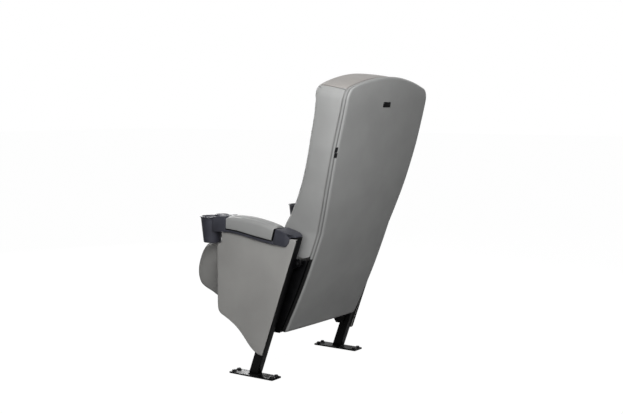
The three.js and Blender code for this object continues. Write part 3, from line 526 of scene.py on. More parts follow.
def carry(obj, rest, moved):
    """Moves a fine mesh as the simulated one moved round it."""
    tree = tree_of(rest)
    points = coords(obj)
    for i, p in enumerate(points):
        near = tree.find_n(p, 6)
        weights = np.array([1 / (gap + 0.001) ** 2 for _, _, gap in near])
        shift = np.array([moved[j] for _, j, _ in near])
        points[i] += (weights[:, None] * shift).sum(0) / weights.sum()
    set_coords(obj, points)


# ---- lines of the back

BACK_BOTTOM, BACK_RISE, BACK_FOOT, BACK_SWEEP = 168, 941, 103, 309
BACK_SHARES = [(0, 0), (0.236, 0.333), (0.538, 0.663), (0.874, 0.939), (1, 1)]
FRONT_LOW, FRONT_RISE, LUMBAR, FRONT_SWEEP = 416, 720, 62, 206
FRONT_SHARES = [
    (0, 0.08), (0.05, 0.01), (0.12, 0), (0.21, 0.16), (0.283, 0.335), (0.369, 0.505),
    (0.462, 0.646), (0.583, 0.777), (0.7, 0.869), (0.817, 0.947), (1, 1),
]
WAIST_HALF, SHOULDER_HALF, WAIST, SHOULDER_START = 233, 278, 548, 900
FLARE_SHARES = [(0, 0), (0.2, 0.29), (0.47, 0.66), (0.82, 0.95), (1, 1)]
SHOULDER, SHOULDER_R, SHOULDER_TURN, SHOULDER_STEPS = 1023, 50, radians(73), 22
SHELL, OUTER, OUTER_CROWN, OUTER_ROUND = 14, 9, 5, 11
CUSHION_LOW, CUSHION_ROUND, CUSHION_CROWN = 455, 26, 9
TOP_TILT, FOOT_DIP = 14, 8
BACK_TOP = BACK_BOTTOM + BACK_RISE
ARCH_SIDE = SHOULDER + SHOULDER_R * sin(SHOULDER_TURN)
ARCH_RISE, ARCH_FADE = BACK_TOP - ARCH_SIDE, 220


def spline(points, steps):
    """Points of a smooth curve through a list of places."""
    pts = np.array(points, float)
    last = len(pts) - 1
    out = []
    for k in range(steps + 1):
        at = last * k / steps
        i = min(int(at), last)
        t = at - i
        a, b = pts[max(i - 1, 0)], pts[i]
        c, d = pts[min(i + 1, last)], pts[min(i + 2, last)]
        v0, v1 = (c - a) / 2, (d - b) / 2
        cubic, square = 2 * b - 2 * c + v0 + v1, -3 * b + 3 * c - 2 * v0 - v1
        out.append(cubic * t**3 + square * t * t + v0 * t + b)
    return np.array(out)


def curve_of(shares):
    table = spline(shares, 400)
    return lambda at: np.interp(at, table[:, 0], table[:, 1])


back_curve, front_curve, flare_curve = map(curve_of, (BACK_SHARES, FRONT_SHARES, FLARE_SHARES))


def back_line(z):
    return BACK_FOOT + BACK_SWEEP * back_curve((np.asarray(z, float) - BACK_BOTTOM) / BACK_RISE)


def front_line(z):
    return LUMBAR + FRONT_SWEEP * front_curve((np.asarray(z, float) - FRONT_LOW) / FRONT_RISE)


def half_at(z):
    share = np.clip((z - WAIST) / (SHOULDER_START - WAIST), 0, 1)
    return WAIST_HALF + (SHOULDER_HALF - WAIST_HALF) * flare_curve(share)


def smoothstep(x, low, high):
    t = np.clip((x - low) / (high - low), 0, 1)
    return t * t * (3 - 2 * t)


def quarter(share, radius):
    """How far a rounded edge falls away at a share of its way out."""
    return radius * (1 - np.sqrt(np.maximum(0, 1 - share * share)))


def border_share(gaps, radius):
    """How far out on the rounded border each point lies, from the gaps to the edges."""
    total = sum(np.maximum(0, 1 - g / radius) ** 2 for g in np.broadcast_arrays(*gaps))
    return np.minimum(1, np.sqrt(total))


EDGE = np.array([0, 0.6, 1.6, 3, 4.8, 7, 9.8, 13.2, 17, 21.4, 27])
REACH = EDGE[-1]
TURNS = SHOULDER_TURN * np.arange(1, SHOULDER_STEPS + 1) / SHOULDER_STEPS


class Back:
    """A grid over the outline of the back, from its foot to its arched top."""

    def __init__(self, bottom, inner=40, step=11.0):
        rise = SHOULDER - bottom - REACH
        count = int(rise / step)
        above = bottom + REACH + rise * np.arange(1, count + 1) / count
        self.heights = np.concatenate([bottom + EDGE, above])
        self.bottom, self.inner = bottom, inner

    def outline(self, inset):
        """Half width and height at the side for each row, drawn in by inset."""
        e = self.heights - self.bottom
        radius = SHOULDER_R - inset
        arc_half = SHOULDER_HALF - SHOULDER_R + radius * np.cos(TURNS)
        arc_side = SHOULDER + radius * np.sin(TURNS)
        side = self.bottom + e + inset * np.maximum(0, 1 - e / REACH)
        return np.append(half_at(self.heights) - inset, arc_half), np.append(side, arc_side)

    def grid(self, inset=0.0):
        """X, Z, the share of the half width and the gaps to the border for each point."""
        half0, side0 = self.outline(0.0)
        half, side = self.outline(inset)
        rise = ARCH_RISE * smoothstep(side0, ARCH_SIDE - ARCH_FADE, ARCH_SIDE)
        middle, middle0 = side + rise, side0 + rise
        drawn = inset * np.maximum(0, 1 - EDGE / REACH) + EDGE - inset
        shares = -1 + 2 * np.arange(1, self.inner + 1) / (self.inner + 1)
        flat = (half0 - REACH)[:, None] * shares

        def across(half, edge):
            right = half[:, None] - edge
            return np.hstack([-right, flat, right[:, ::-1]])

        x = across(half, drawn)
        share = x / half[:, None]
        height = middle[:, None] - (middle - side)[:, None] * share**2
        gaps = [half0[:, None] - np.abs(across(half0, EDGE))]
        gaps += [(middle0[-1] - middle0)[:, None], (middle0 - middle0[0])[:, None]]
        return x, height, share, gaps

    def loop(self):
        """Rows and columns of the grid's border, in order."""
        last, wide = len(self.heights) + SHOULDER_STEPS - 1, self.inner + 2 * len(EDGE) - 1
        ring = [(0, j) for j in range(wide)] + [(i, wide) for i in range(last)]
        ring += [(last, j) for j in range(wide, 0, -1)] + [(i, 0) for i in range(last, 0, -1)]
        return tuple(np.array(ring).T)

    def body(self, front, rear, rings, insets=(0.0, 0.0)):
        """A closed body from a front sheet, a rear sheet and the rings of its wall.
        front and rear give Y and Z from Z, share and gaps; rings are (share of depth, inset)."""
        points, faces, borders = [], [], []
        loop = self.loop()
        for sheet, inset in zip((front, rear), insets):
            x, z, share, gaps = self.grid(inset)
            y, z = sheet(z, share, gaps)
            ids = numbered(points, np.stack([x, y, z], -1).reshape(-1, 3))
            ids = np.array(ids).reshape(x.shape)
            corners = [ids[:-1, :-1], ids[:-1, 1:], ids[1:, 1:], ids[1:, :-1]]
            faces.extend(map(tuple, np.stack(corners, -1).reshape(-1, 4).tolist()))
            borders.append(ids[loop])
        start, end = (np.array([points[i] for i in border]) for border in borders)
        z_plain = self.grid()[1][loop]
        wall = [borders[0]]
        for t, inset in rings:
            x, z, _, _ = self.grid(inset)
            y = start[:, 1] + (end[:, 1] - start[:, 1]) * t
            lift = (1 - t) * (start[:, 2] - z_plain)
            wall.append(numbered(points, np.stack([x[loop], y, z[loop] + lift], -1)))
        return points, faces + bands(wall + [borders[1]])


# ---- the back


def sheet(offset):
    """A plain sheet, offset behind the line on which the shell and the outer panel meet."""
    return lambda z, share, gaps: (back_line(z) + offset, z)


def build_outer_panel():
    def rear(z, share, gaps):
        bow = OUTER_CROWN * (1 - share**2)
        return back_line(z) + OUTER + bow - quarter(border_share(gaps, OUTER_ROUND), OUTER - 1.5), z

    rings = [(0.02, 1.2), (0.2, 0.5), (0.45, 0.12), (0.8, 0)]
    body = Back(BACK_BOTTOM).body(sheet(0.2), rear, rings, (2.4, 0))
    obj = made("outer_back_cover", *body, GREY)
    return declare(obj, "frame", "back_outer_panel")


def build_band():
    """The upholstered edge of the shell, between the outer panel and the cushion."""
    rings = [(0.03, 1.6), (0.1, 0.8), (0.22, 0.2), (0.5, 0), (0.78, 0.2), (0.9, 0.8), (0.97, 1.6)]
    body = Back(BACK_BOTTOM, inner=12).body(sheet(-SHELL), sheet(-0.3), rings, (2.8, 2.8))
    obj = made("back_edge_band", *body, GREY)
    bare_below(obj, (CUSHION_LOW - 3) / 1000)
    return declare(obj, "frame", "back_shell")


def bare_below(obj, height):
    """Leaves the board bare and black below the foot of the cushion."""
    with opened(obj) as bm:
        split_at(bm, (0, 0, height), (0, 0, 1))
        for f in bm.faces:
            f.material_index = int(f.calc_center_median().z < height)
    obj.data.materials.append(BOARD)


def cushion_height(z):
    """Height at the cushion's front of what lies at z on the shell."""
    share = (z - CUSHION_LOW) / (BACK_TOP - CUSHION_LOW)
    return z - FOOT_DIP + (TOP_TILT + FOOT_DIP) * share


FOOT_CURVE = ((0, 28, 63, 100), (6, 0, 15, 15))
FOOT_TALL = 38


def curve_foot(obj):
    """Curves the lower edge of the side panels up towards the front and a little at the shell."""
    points = coords(obj) * 1000
    ahead = back_line(points[:, 2]) - SHELL - (points[:, 1] - SHIFT * 1000)
    near = np.clip(1 - (points[:, 2] - CUSHION_LOW + FOOT_DIP) / FOOT_TALL, 0, 1)
    points[:, 2] += near * np.interp(ahead, *FOOT_CURVE)
    set_coords(obj, points / 1000)


CUSHION_CLOTH = {"voxel": 0.0075, "pressure": 4.0, "cap": 0.009}


def cushion_held(points, outs):
    """The rear is held against the shell, the top and the sides are held in part."""
    return (outs[:, 1] > 0.75) + 0.35 * (np.abs(outs[:, 0]) > 0.8) + 0.8 * (outs[:, 2] > 0.6)


def build_back_cushion():
    def front(z, share, gaps):
        height = cushion_height(z)
        fall = quarter(border_share(gaps, CUSHION_ROUND), CUSHION_ROUND)
        return front_line(height) - CUSHION_CROWN * (1 - share**2) + fall, height

    rings = [(k / 22, -2.2 * sin(pi * k / 22)) for k in range(1, 21)]
    rings += [(0.955, 0.0), (0.972, 0.7), (0.986, 1.7), (0.995, 2.8)]
    body = Back(CUSHION_LOW, inner=56, step=8.0).body(front, sheet(-SHELL - 0.3), rings, (0, 4.2))
    obj = made("back_cushion_cover", *body, GREY)
    sim, rest, moved = inflate(obj, held=cushion_held, **CUSHION_CLOTH)
    carry(obj, rest, moved)
    discard(sim)
    curve_foot(obj)
    return declare(obj, "frame", "back_cushion")


def joint_line(depth, bottom=BACK_BOTTOM):
    """The closed outline of the back, depth in front of the line of the outer panel."""
    grid = Back(bottom)
    x, z, _, _ = grid.grid()
    loop = grid.loop()
    ring = place(np.stack([x[loop], back_line(z[loop]) - depth, z[loop]], 1))
    return np.vstack([ring, ring[:1]])


outer_back = build_outer_panel()
edge_band = build_band()
back_cushion = build_back_cushion()
# Painted shade along the joints between the outer panel, the edge band and the cushion.
painted_shade_lines(outer_back, [joint_line(0)], 0.005)
painted_shade_lines(edge_band, [joint_line(0), joint_line(SHELL)], 0.005)
painted_shade_lines(back_cushion, [joint_line(SHELL, CUSHION_LOW)], 0.006)

# ---- the seat

SEAT_CLOTH = {"voxel": 0.0065, "pressure": 3.5, "cap": 0.010}
NOSE_RISE = 0.013
PAN_DEPTH = 0.12


def seat_held(points, outs):
    """The underside is held where it lies in the pan."""
    low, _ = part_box("seat_cushion")
    under = (outs[:, 2] < -0.6) & (points[:, 2] < low.z + PAN_DEPTH)
    return np.where(under, 1.0, 0.0)


def fill_nose(obj):
    """Fills the top of the seat towards its front."""
    points = coords(obj)
    low, high = points.min(0), points.max(0)
    _, along, tall = ((points - low) / (high - low)).T
    points[:, 2] += NOSE_RISE * smoothstep(tall, 0.35, 0.95) * (1 - smoothstep(along, 0.3, 0.85))
    set_coords(obj, points)


def build_seat_cushion():
    """The seat, grown from its plain solid: remeshed, swollen as cloth, smoothed and refined."""
    start = linked("seat_start", nodes["seat_cushion"].data.copy())
    applied(start, "WELD", merge_threshold=SAME_POINT)
    sim, rest, moved = inflate(start, held=seat_held, **SEAT_CLOTH)
    set_coords(sim, rest + moved)
    discard(start)
    relaxed(sim, 8)
    applied(sim, "SUBSURF", levels=1, render_levels=1)
    sim.name = "seat_cushion_cover"
    sim.vertex_groups.clear()
    dress(sim, GREY_WARM)
    fill_nose(sim)
    return declare(sim, "seat", "seat_cushion")


seat_cushion = build_seat_cushion()

# ---- end panels


def face_outline(obj, sign):
    """The outline, as an ordered loop of (Y, Z), of the flat face that looks outwards along X."""
    bm = bmesh.new()
    bm.from_mesh(obj.data)
    bmesh.ops.remove_doubles(bm, verts=bm.verts, dist=SAME_POINT)
    reach = max(sign * v.co.x for v in bm.verts)
    flat = {f for f in bm.faces if all(sign * v.co.x > reach - SAME_POINT for v in f.verts)}
    edges = [e for f in bm.faces if f in flat for e in f.edges]
    border = [e for e in edges if sum(f in flat for f in e.link_faces) == 1]
    beside = {}
    for e in border:
        for v in e.verts:
            beside.setdefault(v, []).append(e.other_vert(v))
    start = before = border[0].verts[0]
    here = beside[start][0]
    loop = [start]
    while here != start:
        loop.append(here)
        before, here = here, next(v for v in beside[here] if v != before)
    points = np.array([(v.co.y, v.co.z) for v in loop])
    bm.free()
    after = np.roll(points, -1, 0)
    area = np.sum(points[:, 0] * after[:, 1] - after[:, 0] * points[:, 1])
    return (points if area > 0 else points[::-1]), reach


def resampled(points, step):
    """The closed loop with its points at an even step."""
    closed = np.vstack([points, points[:1]])
    run = run_along(closed)
    return at_run(closed, run, np.linspace(0, run[-1], int(run[-1] / step), endpoint=False))


def offset_loop(points, distance):
    """The loop moved outwards by distance; it runs anticlockwise."""
    along = np.roll(points, -1, 0) - np.roll(points, 1, 0)
    along /= norm(along, axis=1)[:, None]
    return points + distance * np.stack([along[:, 1], -along[:, 0]], 1)


def within(polygon, y, z):
    a, b = polygon, np.roll(polygon, -1, 0)
    crosses = (a[:, 1] > z) != (b[:, 1] > z)
    rise = np.where(b[:, 1] == a[:, 1], 1, b[:, 1] - a[:, 1])
    at = a[:, 0] + (z - a[:, 1]) / rise * (b[:, 0] - a[:, 0])
    return bool(np.count_nonzero(crosses & (y < at)) % 2)


PANEL_WALL, PANEL_ROUND, PANEL_CROWN, PANEL_PROUD = 0.004, 0.0065, 0.0022, 0.004
EDGE_STEP, FACE_STEP, FACE_MARGIN, FACE_FADE = 0.003, 0.012, 0.006, 0.05


def build_panel(side, sign):
    """Upholstered end panel: its wall, a rounded edge and a slightly crowned face, in metres."""
    name = f"end_panel_cover_{side}"
    loop, reach = face_outline(nodes[name], sign)
    inner = min(abs(corner.x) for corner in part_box(name))
    face = resampled(loop, EDGE_STEP)
    face = (np.roll(face, 1, 0) + 2 * face + np.roll(face, -1, 0)) / 4
    outline = offset_loop(face, PANEL_PROUD)
    thick = reach - inner
    points, rings = [], []
    wall = [
        (thick - PANEL_WALL + 0.0002, PANEL_WALL + 0.0003), (0.0002, PANEL_WALL + 0.0002),
        (0.0, PANEL_WALL - 0.0008), (0.0, 0.0012), (0.0005, 0.0003), (0.002, 0.0),
        (thick - PANEL_ROUND - 0.001, 0.0),
    ]
    turns = [pi / 2 * (k / 7 - 1) for k in range(1, 8)]
    wall += arc(thick - PANEL_ROUND, PANEL_ROUND, PANEL_ROUND, turns)
    for depth, drawn in wall:
        flat = offset_loop(outline, -drawn)
        rings.append(numbered(points, [(sign * (inner + depth), y, z) for y, z in flat]))
    faces = bands(rings) + [tuple(rings[0])]
    border = np.array([points[i][1:] for i in rings[-1]])
    tree = tree_of([(y, z, 0) for y, z in border])
    low, high = border.min(0), border.max(0)

    def gap_at(y, z):
        return tree.find((y, z, 0))[2]

    inside = [
        (y, z)
        for y in np.arange(low[0] + FACE_STEP / 2, high[0], FACE_STEP)
        for z in np.arange(low[1] + FACE_STEP / 2, high[1], FACE_STEP)
        if gap_at(y, z) >= FACE_MARGIN and within(border, y, z)
    ]
    count = len(border)
    flat = [Vector(p) for p in (*border, *inside)]
    edges = [(i, (i + 1) % count) for i in range(count)]
    verts, _, tris, _, _, _ = delaunay_2d_cdt(flat, edges, [list(range(count))], 1, 1e-7)
    crowns = [PANEL_CROWN * (1 - exp(-gap_at(*v) / FACE_FADE)) for v in verts]
    ids = numbered(points, [(sign * (reach + c), v.x, v.y) for c, v in zip(crowns, verts)])
    faces.extend(tuple(ids[i] for i in t) for t in tris)
    obj = made(f"end_panel_upholstery_{side}", points, faces, GREY_WARM, metres=True)
    applied(obj, "WELD", merge_threshold=0.00005)
    outward(obj)
    # Faces that look to the rear take the black board: partly bare board, partly painted shade on
    # the panel's rear edge.
    obj.data.materials.append(BOARD)
    for polygon in obj.data.polygons:
        across, back, _ = polygon.normal
        polygon.material_index = int(back > 0.72 and abs(across) < 0.5)
    declare(obj, "frame", name)


# ---- arm pads

ARM_CENTRE, ARM_HALF, ARM_FRONT, ARM_REAR = 283, 36, -105, 111
ARM_LINE, ARM_DROP = 550, 29
ARM_SHARES = [(0, 0), (0.22, 0.12), (0.44, 0.37), (0.66, 0.65), (1, 1)]
PAD_CREST, PAD_REAR, PAD_SLANT, PAD_ROUND, PAD_CROWN = 600, 52, 16, 17, 6
PAD_SHARES = [(0, 0.86), (0.2, 1), (0.5, 0.9), (0.8, 0.5), (1, 0)]
PAD_ENDS = (0, 0.35, 1.1, 2.2, 3.6, 5.5, 9)
PAD_FLOOR, PAD_GAP, PAD_NICK, PAD_CRISP, PAD_BOARD_TALL = 4.4, 3.6, 1.4, 3.2, 43
arm_curve, pad_curve = curve_of(ARM_SHARES), curve_of(PAD_SHARES)


def arm_line(y):
    return ARM_LINE - ARM_DROP * float(arm_curve((y - ARM_FRONT) / (ARM_REAR - ARM_FRONT)))


def pad_section(half, low, high, soft):
    """Half of the pad's section, from the middle of its underside to the middle of its crown."""
    nick, turn_low = PAD_NICK, high - PAD_CROWN - soft
    out = [(0, low), (half * 0.5, low), (half - 3, low)]
    out += arc(half - nick, low + nick, nick, np.linspace(0.2 - pi / 2, 0, 4))
    rise = turn_low - low - nick
    shares = [k / 6 for k in range(1, 6)]
    out += [(half + 0.9 * sin(pi * t), low + nick + rise * t) for t in shares]
    out += arc(half - soft, turn_low, soft, np.linspace(0, pi / 2, 10))
    shares = (0.85, 0.7, 0.55, 0.4, 0.25, 0.12, 0)
    return out + [(share * (half - soft), high - PAD_CROWN * share**2) for share in shares]


def build_pad(side, sign):
    """Upholstered pad with crisp ends, the rear one slanted to meet the hood."""
    half, rear = ARM_HALF - 0.3, ARM_REAR - PAD_GAP
    run = [ARM_FRONT + e for e in PAD_ENDS]
    run += list(np.linspace(ARM_FRONT + 14, rear - 14, 34)) + [rear - e for e in reversed(PAD_ENDS)]
    rear_top = arm_line(ARM_REAR) + PAD_REAR
    rings = []
    for y in run:
        share = (y - ARM_FRONT) / (ARM_REAR - ARM_FRONT)
        gap = min(y - ARM_FRONT, rear - y)
        inward = float(quarter(max(0, 1 - gap / PAD_CRISP), PAD_CRISP))
        high = rear_top + float(pad_curve(share)) * (PAD_CREST - rear_top) - inward
        soft = PAD_ROUND - 9 * float(1 - smoothstep(share, 0, 0.25))
        section = pad_section(half - inward, arm_line(y) + 0.3 + 0.35 * inward, high, soft)
        lean = [PAD_SLANT * share**6 * (z - arm_line(y)) / PAD_REAR for _, z in section]
        right = [(x, y + shift, z) for (x, z), shift in zip(section, lean)]
        ring = right + [(-x, v, z) for x, v, z in reversed(right[1:-1])]
        rings.append([(sign * (ARM_CENTRE + x), v, z) for x, v, z in ring])
    obj = lofted(f"arm_pad_cover_{side}", rings, GREY)
    declare(obj, "frame", f"arm_pad_{side}")


def build_pad_board(side, sign):
    """Black board under the pad, turned up between its rear end and the hood: partly the pad's base
    board, partly painted shade for the dark gap under the pad.
    """
    half, base, rear = ARM_HALF + 0.45, arm_line(ARM_REAR), ARM_REAR - PAD_GAP
    run = np.linspace(ARM_FRONT + 0.4, rear, 30)
    rises = [(PAD_BOARD_TALL * t, PAD_SLANT * PAD_BOARD_TALL * t / PAD_REAR) for t in (0, 0.5, 1)]
    outline = [(y, arm_line(y) - PAD_FLOOR) for y in run] + [(ARM_REAR + 0.6, base - PAD_FLOOR)]
    outline += [(ARM_REAR + 0.9 + lean, base + rise) for rise, lean in rises]
    outline += [(rear + 0.2 + lean, base + rise) for rise, lean in reversed(rises)]
    outline = np.array(outline + [(y, arm_line(y) + 0.1) for y in reversed(run)])
    rings = [
        [(sign * (ARM_CENTRE + x), y, z) for y, z in offset_loop(outline, -drawn)]
        for x, drawn in ((-half, 0.5), (-half + 0.5, 0.0), (half - 0.5, 0.0), (half, 0.5))
    ]
    # The black strip is partly painted shade in the gap between the pad and the moulding.
    gap_shade_board = lofted(f"arm_pad_board_{side}", rings, BLACK, smooth=False)
    declare(gap_shade_board, "frame")


for build in (build_panel, build_pad, build_pad_board):
    for side, sign in SIDES:
        build(side, sign)

# ---- hard pieces

FINISHES = (
    (("panel_screw", "back_bolt", "pivot_pin"), BOLT, 0.0005),
    (("leg_plug", "pivot_bush"), BLACK, 0.0004),
    (("stop_buffer",), RUBBER, 0.0005),
    (("end_panel_board",), BOARD, 0.0),
    (("",), STEEL, 0.0007),
)
REBUILT = ("arm_base", "cup_holder", "anchor_bolt")


def finish_node(obj, material, edge):
    """Gives a solid from the model its material, soft edges and smooth curved faces."""
    dress(obj, material)
    modify(obj, "WELD", merge_threshold=SAME_POINT)
    if edge:
        soft_edges(obj, edge)


for name in sorted(nodes):
    if not nodes[name].hide_render and not name.startswith(REBUILT):
        material, edge = next(finish[1:] for finish in FINISHES if name.startswith(finish[0]))
        finish_node(nodes[name], material, edge)

# ---- hood and cup holders

HOOD_WAS = ((127, 15), (166, 18), (192, 8), (212, -5))
HOOD_IS = ((127, 15), (150, 10), (177, 2.5), (195, -4), (212, -9))
HOOD_FLOOR, HOOD_ROOF, HOOD_BACK = -13.5, 5.0, 168


def hood_top(profile, y):
    return (ARM_LINE + np.interp(y, *np.array(profile, float).T)) / 1000


def build_arm_base(side, sign):
    """Arm moulding with the falling roof of its hood, and painted shade on the wall under that
    roof.
    """
    name = f"arm_base_{side}"
    obj = linked(f"arm_moulding_{side}", nodes[name].data.copy())
    floor = (ARM_LINE + HOOD_FLOOR) / 1000
    (y0, z0), (y1, z1) = HOOD_IS[1], HOOD_IS[3]
    slope = (z1 - z0) / (y1 - y0)
    at = place([(0, y0, ARM_LINE + z0 - HOOD_ROOF)])[0]
    with opened(obj) as bm:
        bmesh.ops.remove_doubles(bm, verts=bm.verts, dist=SAME_POINT)
        for v in bm.verts:
            y = (v.co.y - SHIFT) * 1000
            if y > HOOD_WAS[0][0] - 2 and v.co.z > floor:
                was, now = hood_top(HOOD_WAS, y), hood_top(HOOD_IS, y)
                v.co.z = floor + (v.co.z - floor) * (now - floor) / (was - floor)
        split_at(bm, at, (0, -slope, 1))
        # Faces of the wall under the roof at the rear take black nylon: painted shade under the
        # hood.
        for f in bm.faces:
            c = f.calc_center_median()
            under = c.z < at[2] + slope * (c.y - at[1]) - 1e-4
            behind = (c.y - SHIFT) * 1000 > HOOD_BACK
            f.material_index = int(under and behind and abs(c.x) * 1000 < ARM_CENTRE + ARM_HALF - 2)
    dress(obj, CHARCOAL, BLACK)
    soft_edges(obj, 0.0011, 30, 3)
    declare(obj, "frame", name)


def lathe(name, profile, centre, steps=96):
    """A closed turned body from (radius, height) points that start and end on its axis."""
    turns = [2 * pi * k / steps for k in range(steps)]
    rings = [
        [(x, y, z) for x, y in arc(*centre, r, turns if r else turns[:1])] for r, z in profile
    ]
    return lofted(name, rings, CHARCOAL, bands)


def prism(name, outline, x0, x1):
    """A straight body along X from an outline of (Y, Z)."""
    rings = [[(x, y, z) for y, z in outline] for x in (x0, x1)]
    return lofted(name, rings, CHARCOAL, smooth=False)


def carved(obj, tools):
    for tool in tools:
        modify(obj, "BOOLEAN", operation="DIFFERENCE", solver="EXACT", object=tool)
    baked(obj)
    for tool in tools:
        discard(tool)
    return obj


CUP_Y, CUP_TOP, CUP_TALL = -200, 588.5, 100
CUP_WIDE, CUP_FOOT, CUP_LIP, CUP_WALL = 43.5, 33, 3.5, 2.6
CUP_BASE = CUP_TOP - CUP_TALL
BLOCK_REAR, BLOCK_LONG, BLOCK_RISE, BLOCK_WALL, BAY_DEEP = -105.3, 61, 8.5, 3, 20
DISH_Y, DISH_R, DISH_TOP = -151, 27, CUP_TOP + BLOCK_RISE + 1
LIP_OUTER = ((0.5, -4), (1.6, -3.2), (CUP_LIP - 0.4, -3), (CUP_LIP, -2.4), (CUP_LIP, -1),
             (CUP_LIP - 0.5, -0.2), (CUP_LIP - 1.2, 0))
LIP_INNER = ((0.9, 0), (0.3, -0.3), (0, -1))
DISH = ((0.6, 9.3), (0, 8.8), (0, 0.8), (0.3, 0.2), (0.9, 0), (2.6, 0), (3.2, 0.3), (3.6, 1.2),
        (4.4, 2.6), (5.6, 3), (DISH_R, 3))


def cup_radius(z):
    return CUP_FOOT + (CUP_WIDE - CUP_FOOT) * (z - CUP_BASE) / CUP_TALL


def block_top(y):
    return CUP_TOP + BLOCK_RISE / (BLOCK_REAR - CUP_Y) * (y - CUP_Y)


def build_cup_body(centre):
    """Tapered cup with a rounded foot and a lip."""
    foot, round_foot = CUP_BASE, CUP_FOOT - 2.5
    profile = [(0, foot + 1), (CUP_FOOT - 6, foot + 1), (CUP_FOOT - 5, foot), (round_foot, foot)]
    turns = [t - pi / 2 for t in (0.4, 0.8, 1.2, 1.5)]
    profile += arc(round_foot, foot + 2.5, 2.5, turns)
    profile += [(cup_radius(z), z) for z in np.linspace(foot + 4, CUP_TOP - 5, 8)]
    profile += [(CUP_WIDE + out, CUP_TOP + z) for out, z in LIP_OUTER]
    profile += [(CUP_WIDE - CUP_WALL + out, CUP_TOP + z) for out, z in LIP_INNER]
    profile += [(cup_radius(z) - CUP_WALL, z) for z in np.linspace(CUP_TOP - 4, foot + 6.5, 7)]
    profile += [(CUP_FOOT - CUP_WALL - 0.6, foot + 4.4), (CUP_FOOT - CUP_WALL - 2.5, foot + 3.5)]
    return lathe("cup", profile + [(0, foot + 3.5)], centre)


def build_block(c, centre):
    """The block that carries the cup, hollow from below and cut out for the cup."""
    front, bay_front = BLOCK_REAR - BLOCK_LONG, CUP_Y + CUP_WIDE - 1
    bay_rear, bay_half = BLOCK_REAR - BLOCK_WALL, ARM_HALF - BLOCK_WALL
    low = ARM_LINE + HOOD_FLOOR
    top = [(y, block_top(y)) for y in (BLOCK_REAR, front)]
    block = prism("cup_block", [(front, low), (BLOCK_REAR, low)] + top, c - ARM_HALF, c + ARM_HALF)
    bay_outline = [
        (bay_front, low - BAY_DEEP), (bay_rear, low - BAY_DEEP),
        (bay_rear, block_top(BLOCK_REAR) - BLOCK_WALL),
        (bay_front, block_top(bay_front) - BLOCK_WALL),
    ]
    bay = prism("bay", bay_outline, c - bay_half, c + bay_half)
    ends = [(cup_radius(z) - 1, z) for z in (CUP_BASE - 1, CUP_TOP + 9)]
    drum = lathe("drum", [(0, ends[0][1])] + ends + [(0, ends[1][1])], centre)
    carved(block, [bay, drum])
    soft_edges(block, 0.0022, 40, 4)
    return baked(block)


def build_cup(side, sign):
    """Cup, block and the shallow dish behind the cup, as one moulding."""
    c = sign * ARM_CENTRE
    cup = build_cup_body((c, CUP_Y))
    block = build_block(c, (c, CUP_Y))
    profile = [(0, DISH_TOP - 9.3)] + [(DISH_R - inward, DISH_TOP - down) for inward, down in DISH]
    dish = lathe("dish", profile, (c, DISH_Y))
    bm = bmesh.new()
    for piece in (cup, block, dish):
        bm.from_mesh(piece.data)
    bm.to_mesh(cup.data)
    bm.free()
    dress(cup, CHARCOAL)
    discard(block)
    discard(dish)
    cup.name = f"cup_moulding_{side}"
    declare(cup, "frame", f"cup_holder_{side}")


for side, sign in SIDES:
    build_arm_base(side, sign)
    build_cup(side, sign)

# ---- anchors and welds

HEAD_SHARE = 0.62


def build_anchor(name):
    """Floor anchor with a low head."""
    obj = linked(name.replace("bolt", "head"), nodes[name].data.copy())
    plate = plate_high.z + 0.002
    points = coords(obj)
    above = points[:, 2] > plate
    points[above, 2] = plate + HEAD_SHARE * (points[above, 2] - plate)
    set_coords(obj, points)
    finish_node(obj, BOLT, 0)
    soft_edges(obj, 0.0009, segments=3)
    declare(obj, "frame", name)


for name in sorted(nodes):
    if name.startswith("anchor_bolt"):
        build_anchor(name)

WELD_RADIUS, WELD_WAVE, WELD_SIDES = 0.0021, 0.16, 8


def build_weld(side):
    """Bead round the foot of a leg, on its floor plate."""
    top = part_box(f"foot_plate_{side}")[1].z
    leg = coords(nodes[f"leg_{side}"])
    foot = leg[leg[:, 2] < top + 0.006]
    (x0, y0, _), (x1, y1, _) = foot.min(0), foot.max(0)
    corners = [(x0, y0), (x1, y0), (x1, y1), (x0, y1), (x0, y0)]
    path = line_points([(x, y, top + 0.0004) for x, y in corners], 0.0024)[:-1]
    rings = []
    turns = [2 * pi * turn / WELD_SIDES for turn in range(WELD_SIDES)]
    for k, centre in enumerate(path):
        along = path[(k + 1) % len(path)] - path[k - 1]
        along /= norm(along)
        radius = WELD_RADIUS * (1 + WELD_WAVE * sin(k * 1.9))
        rings.append([
            centre + (along[1] * out, -along[0] * out, up) for out, up in arc(0, 0, radius, turns)
        ])
    weld = lofted(
        f"leg_weld_{side}", rings, STEEL, lambda ids: bands(ids + ids[:1]), metres=True
    )
    declare(weld, "frame")


for side, _ in SIDES:
    build_weld(side)

# ---- seams


def refine(obj, paths, reach):
    """Splits the faces near some paths into smaller ones."""
    tree = tree_of(np.vstack([line_points(p, 0.003) for p in paths]))
    with opened(obj) as bm:
        near = set()
        for face in bm.faces:
            if tree.find(face.calc_center_median())[2] < reach:
                near.update(face.edges)
        bmesh.ops.subdivide_edges(bm, edges=list(near), cuts=2, use_grid_fill=True)
    obj.data.polygons.foreach_set("use_smooth", [True] * len(obj.data.polygons))


def shoulder_half(z):
    """Half width of the back at height z, the rounded shoulder included."""
    if z < SHOULDER:
        return half_at(z)
    turn = asin(min(1, (z - SHOULDER) / SHOULDER_R))
    return SHOULDER_HALF - SHOULDER_R + SHOULDER_R * cos(turn)


def depth_ends(z):
    """Where the cushion's side starts behind its rounded front, and where it meets the shell."""
    return float(front_line(cushion_height(z))) + CUSHION_ROUND, float(back_line(z)) - SHELL


SIDE_PANEL_TOP = 1060
TOP_PANEL_EDGE = 1063


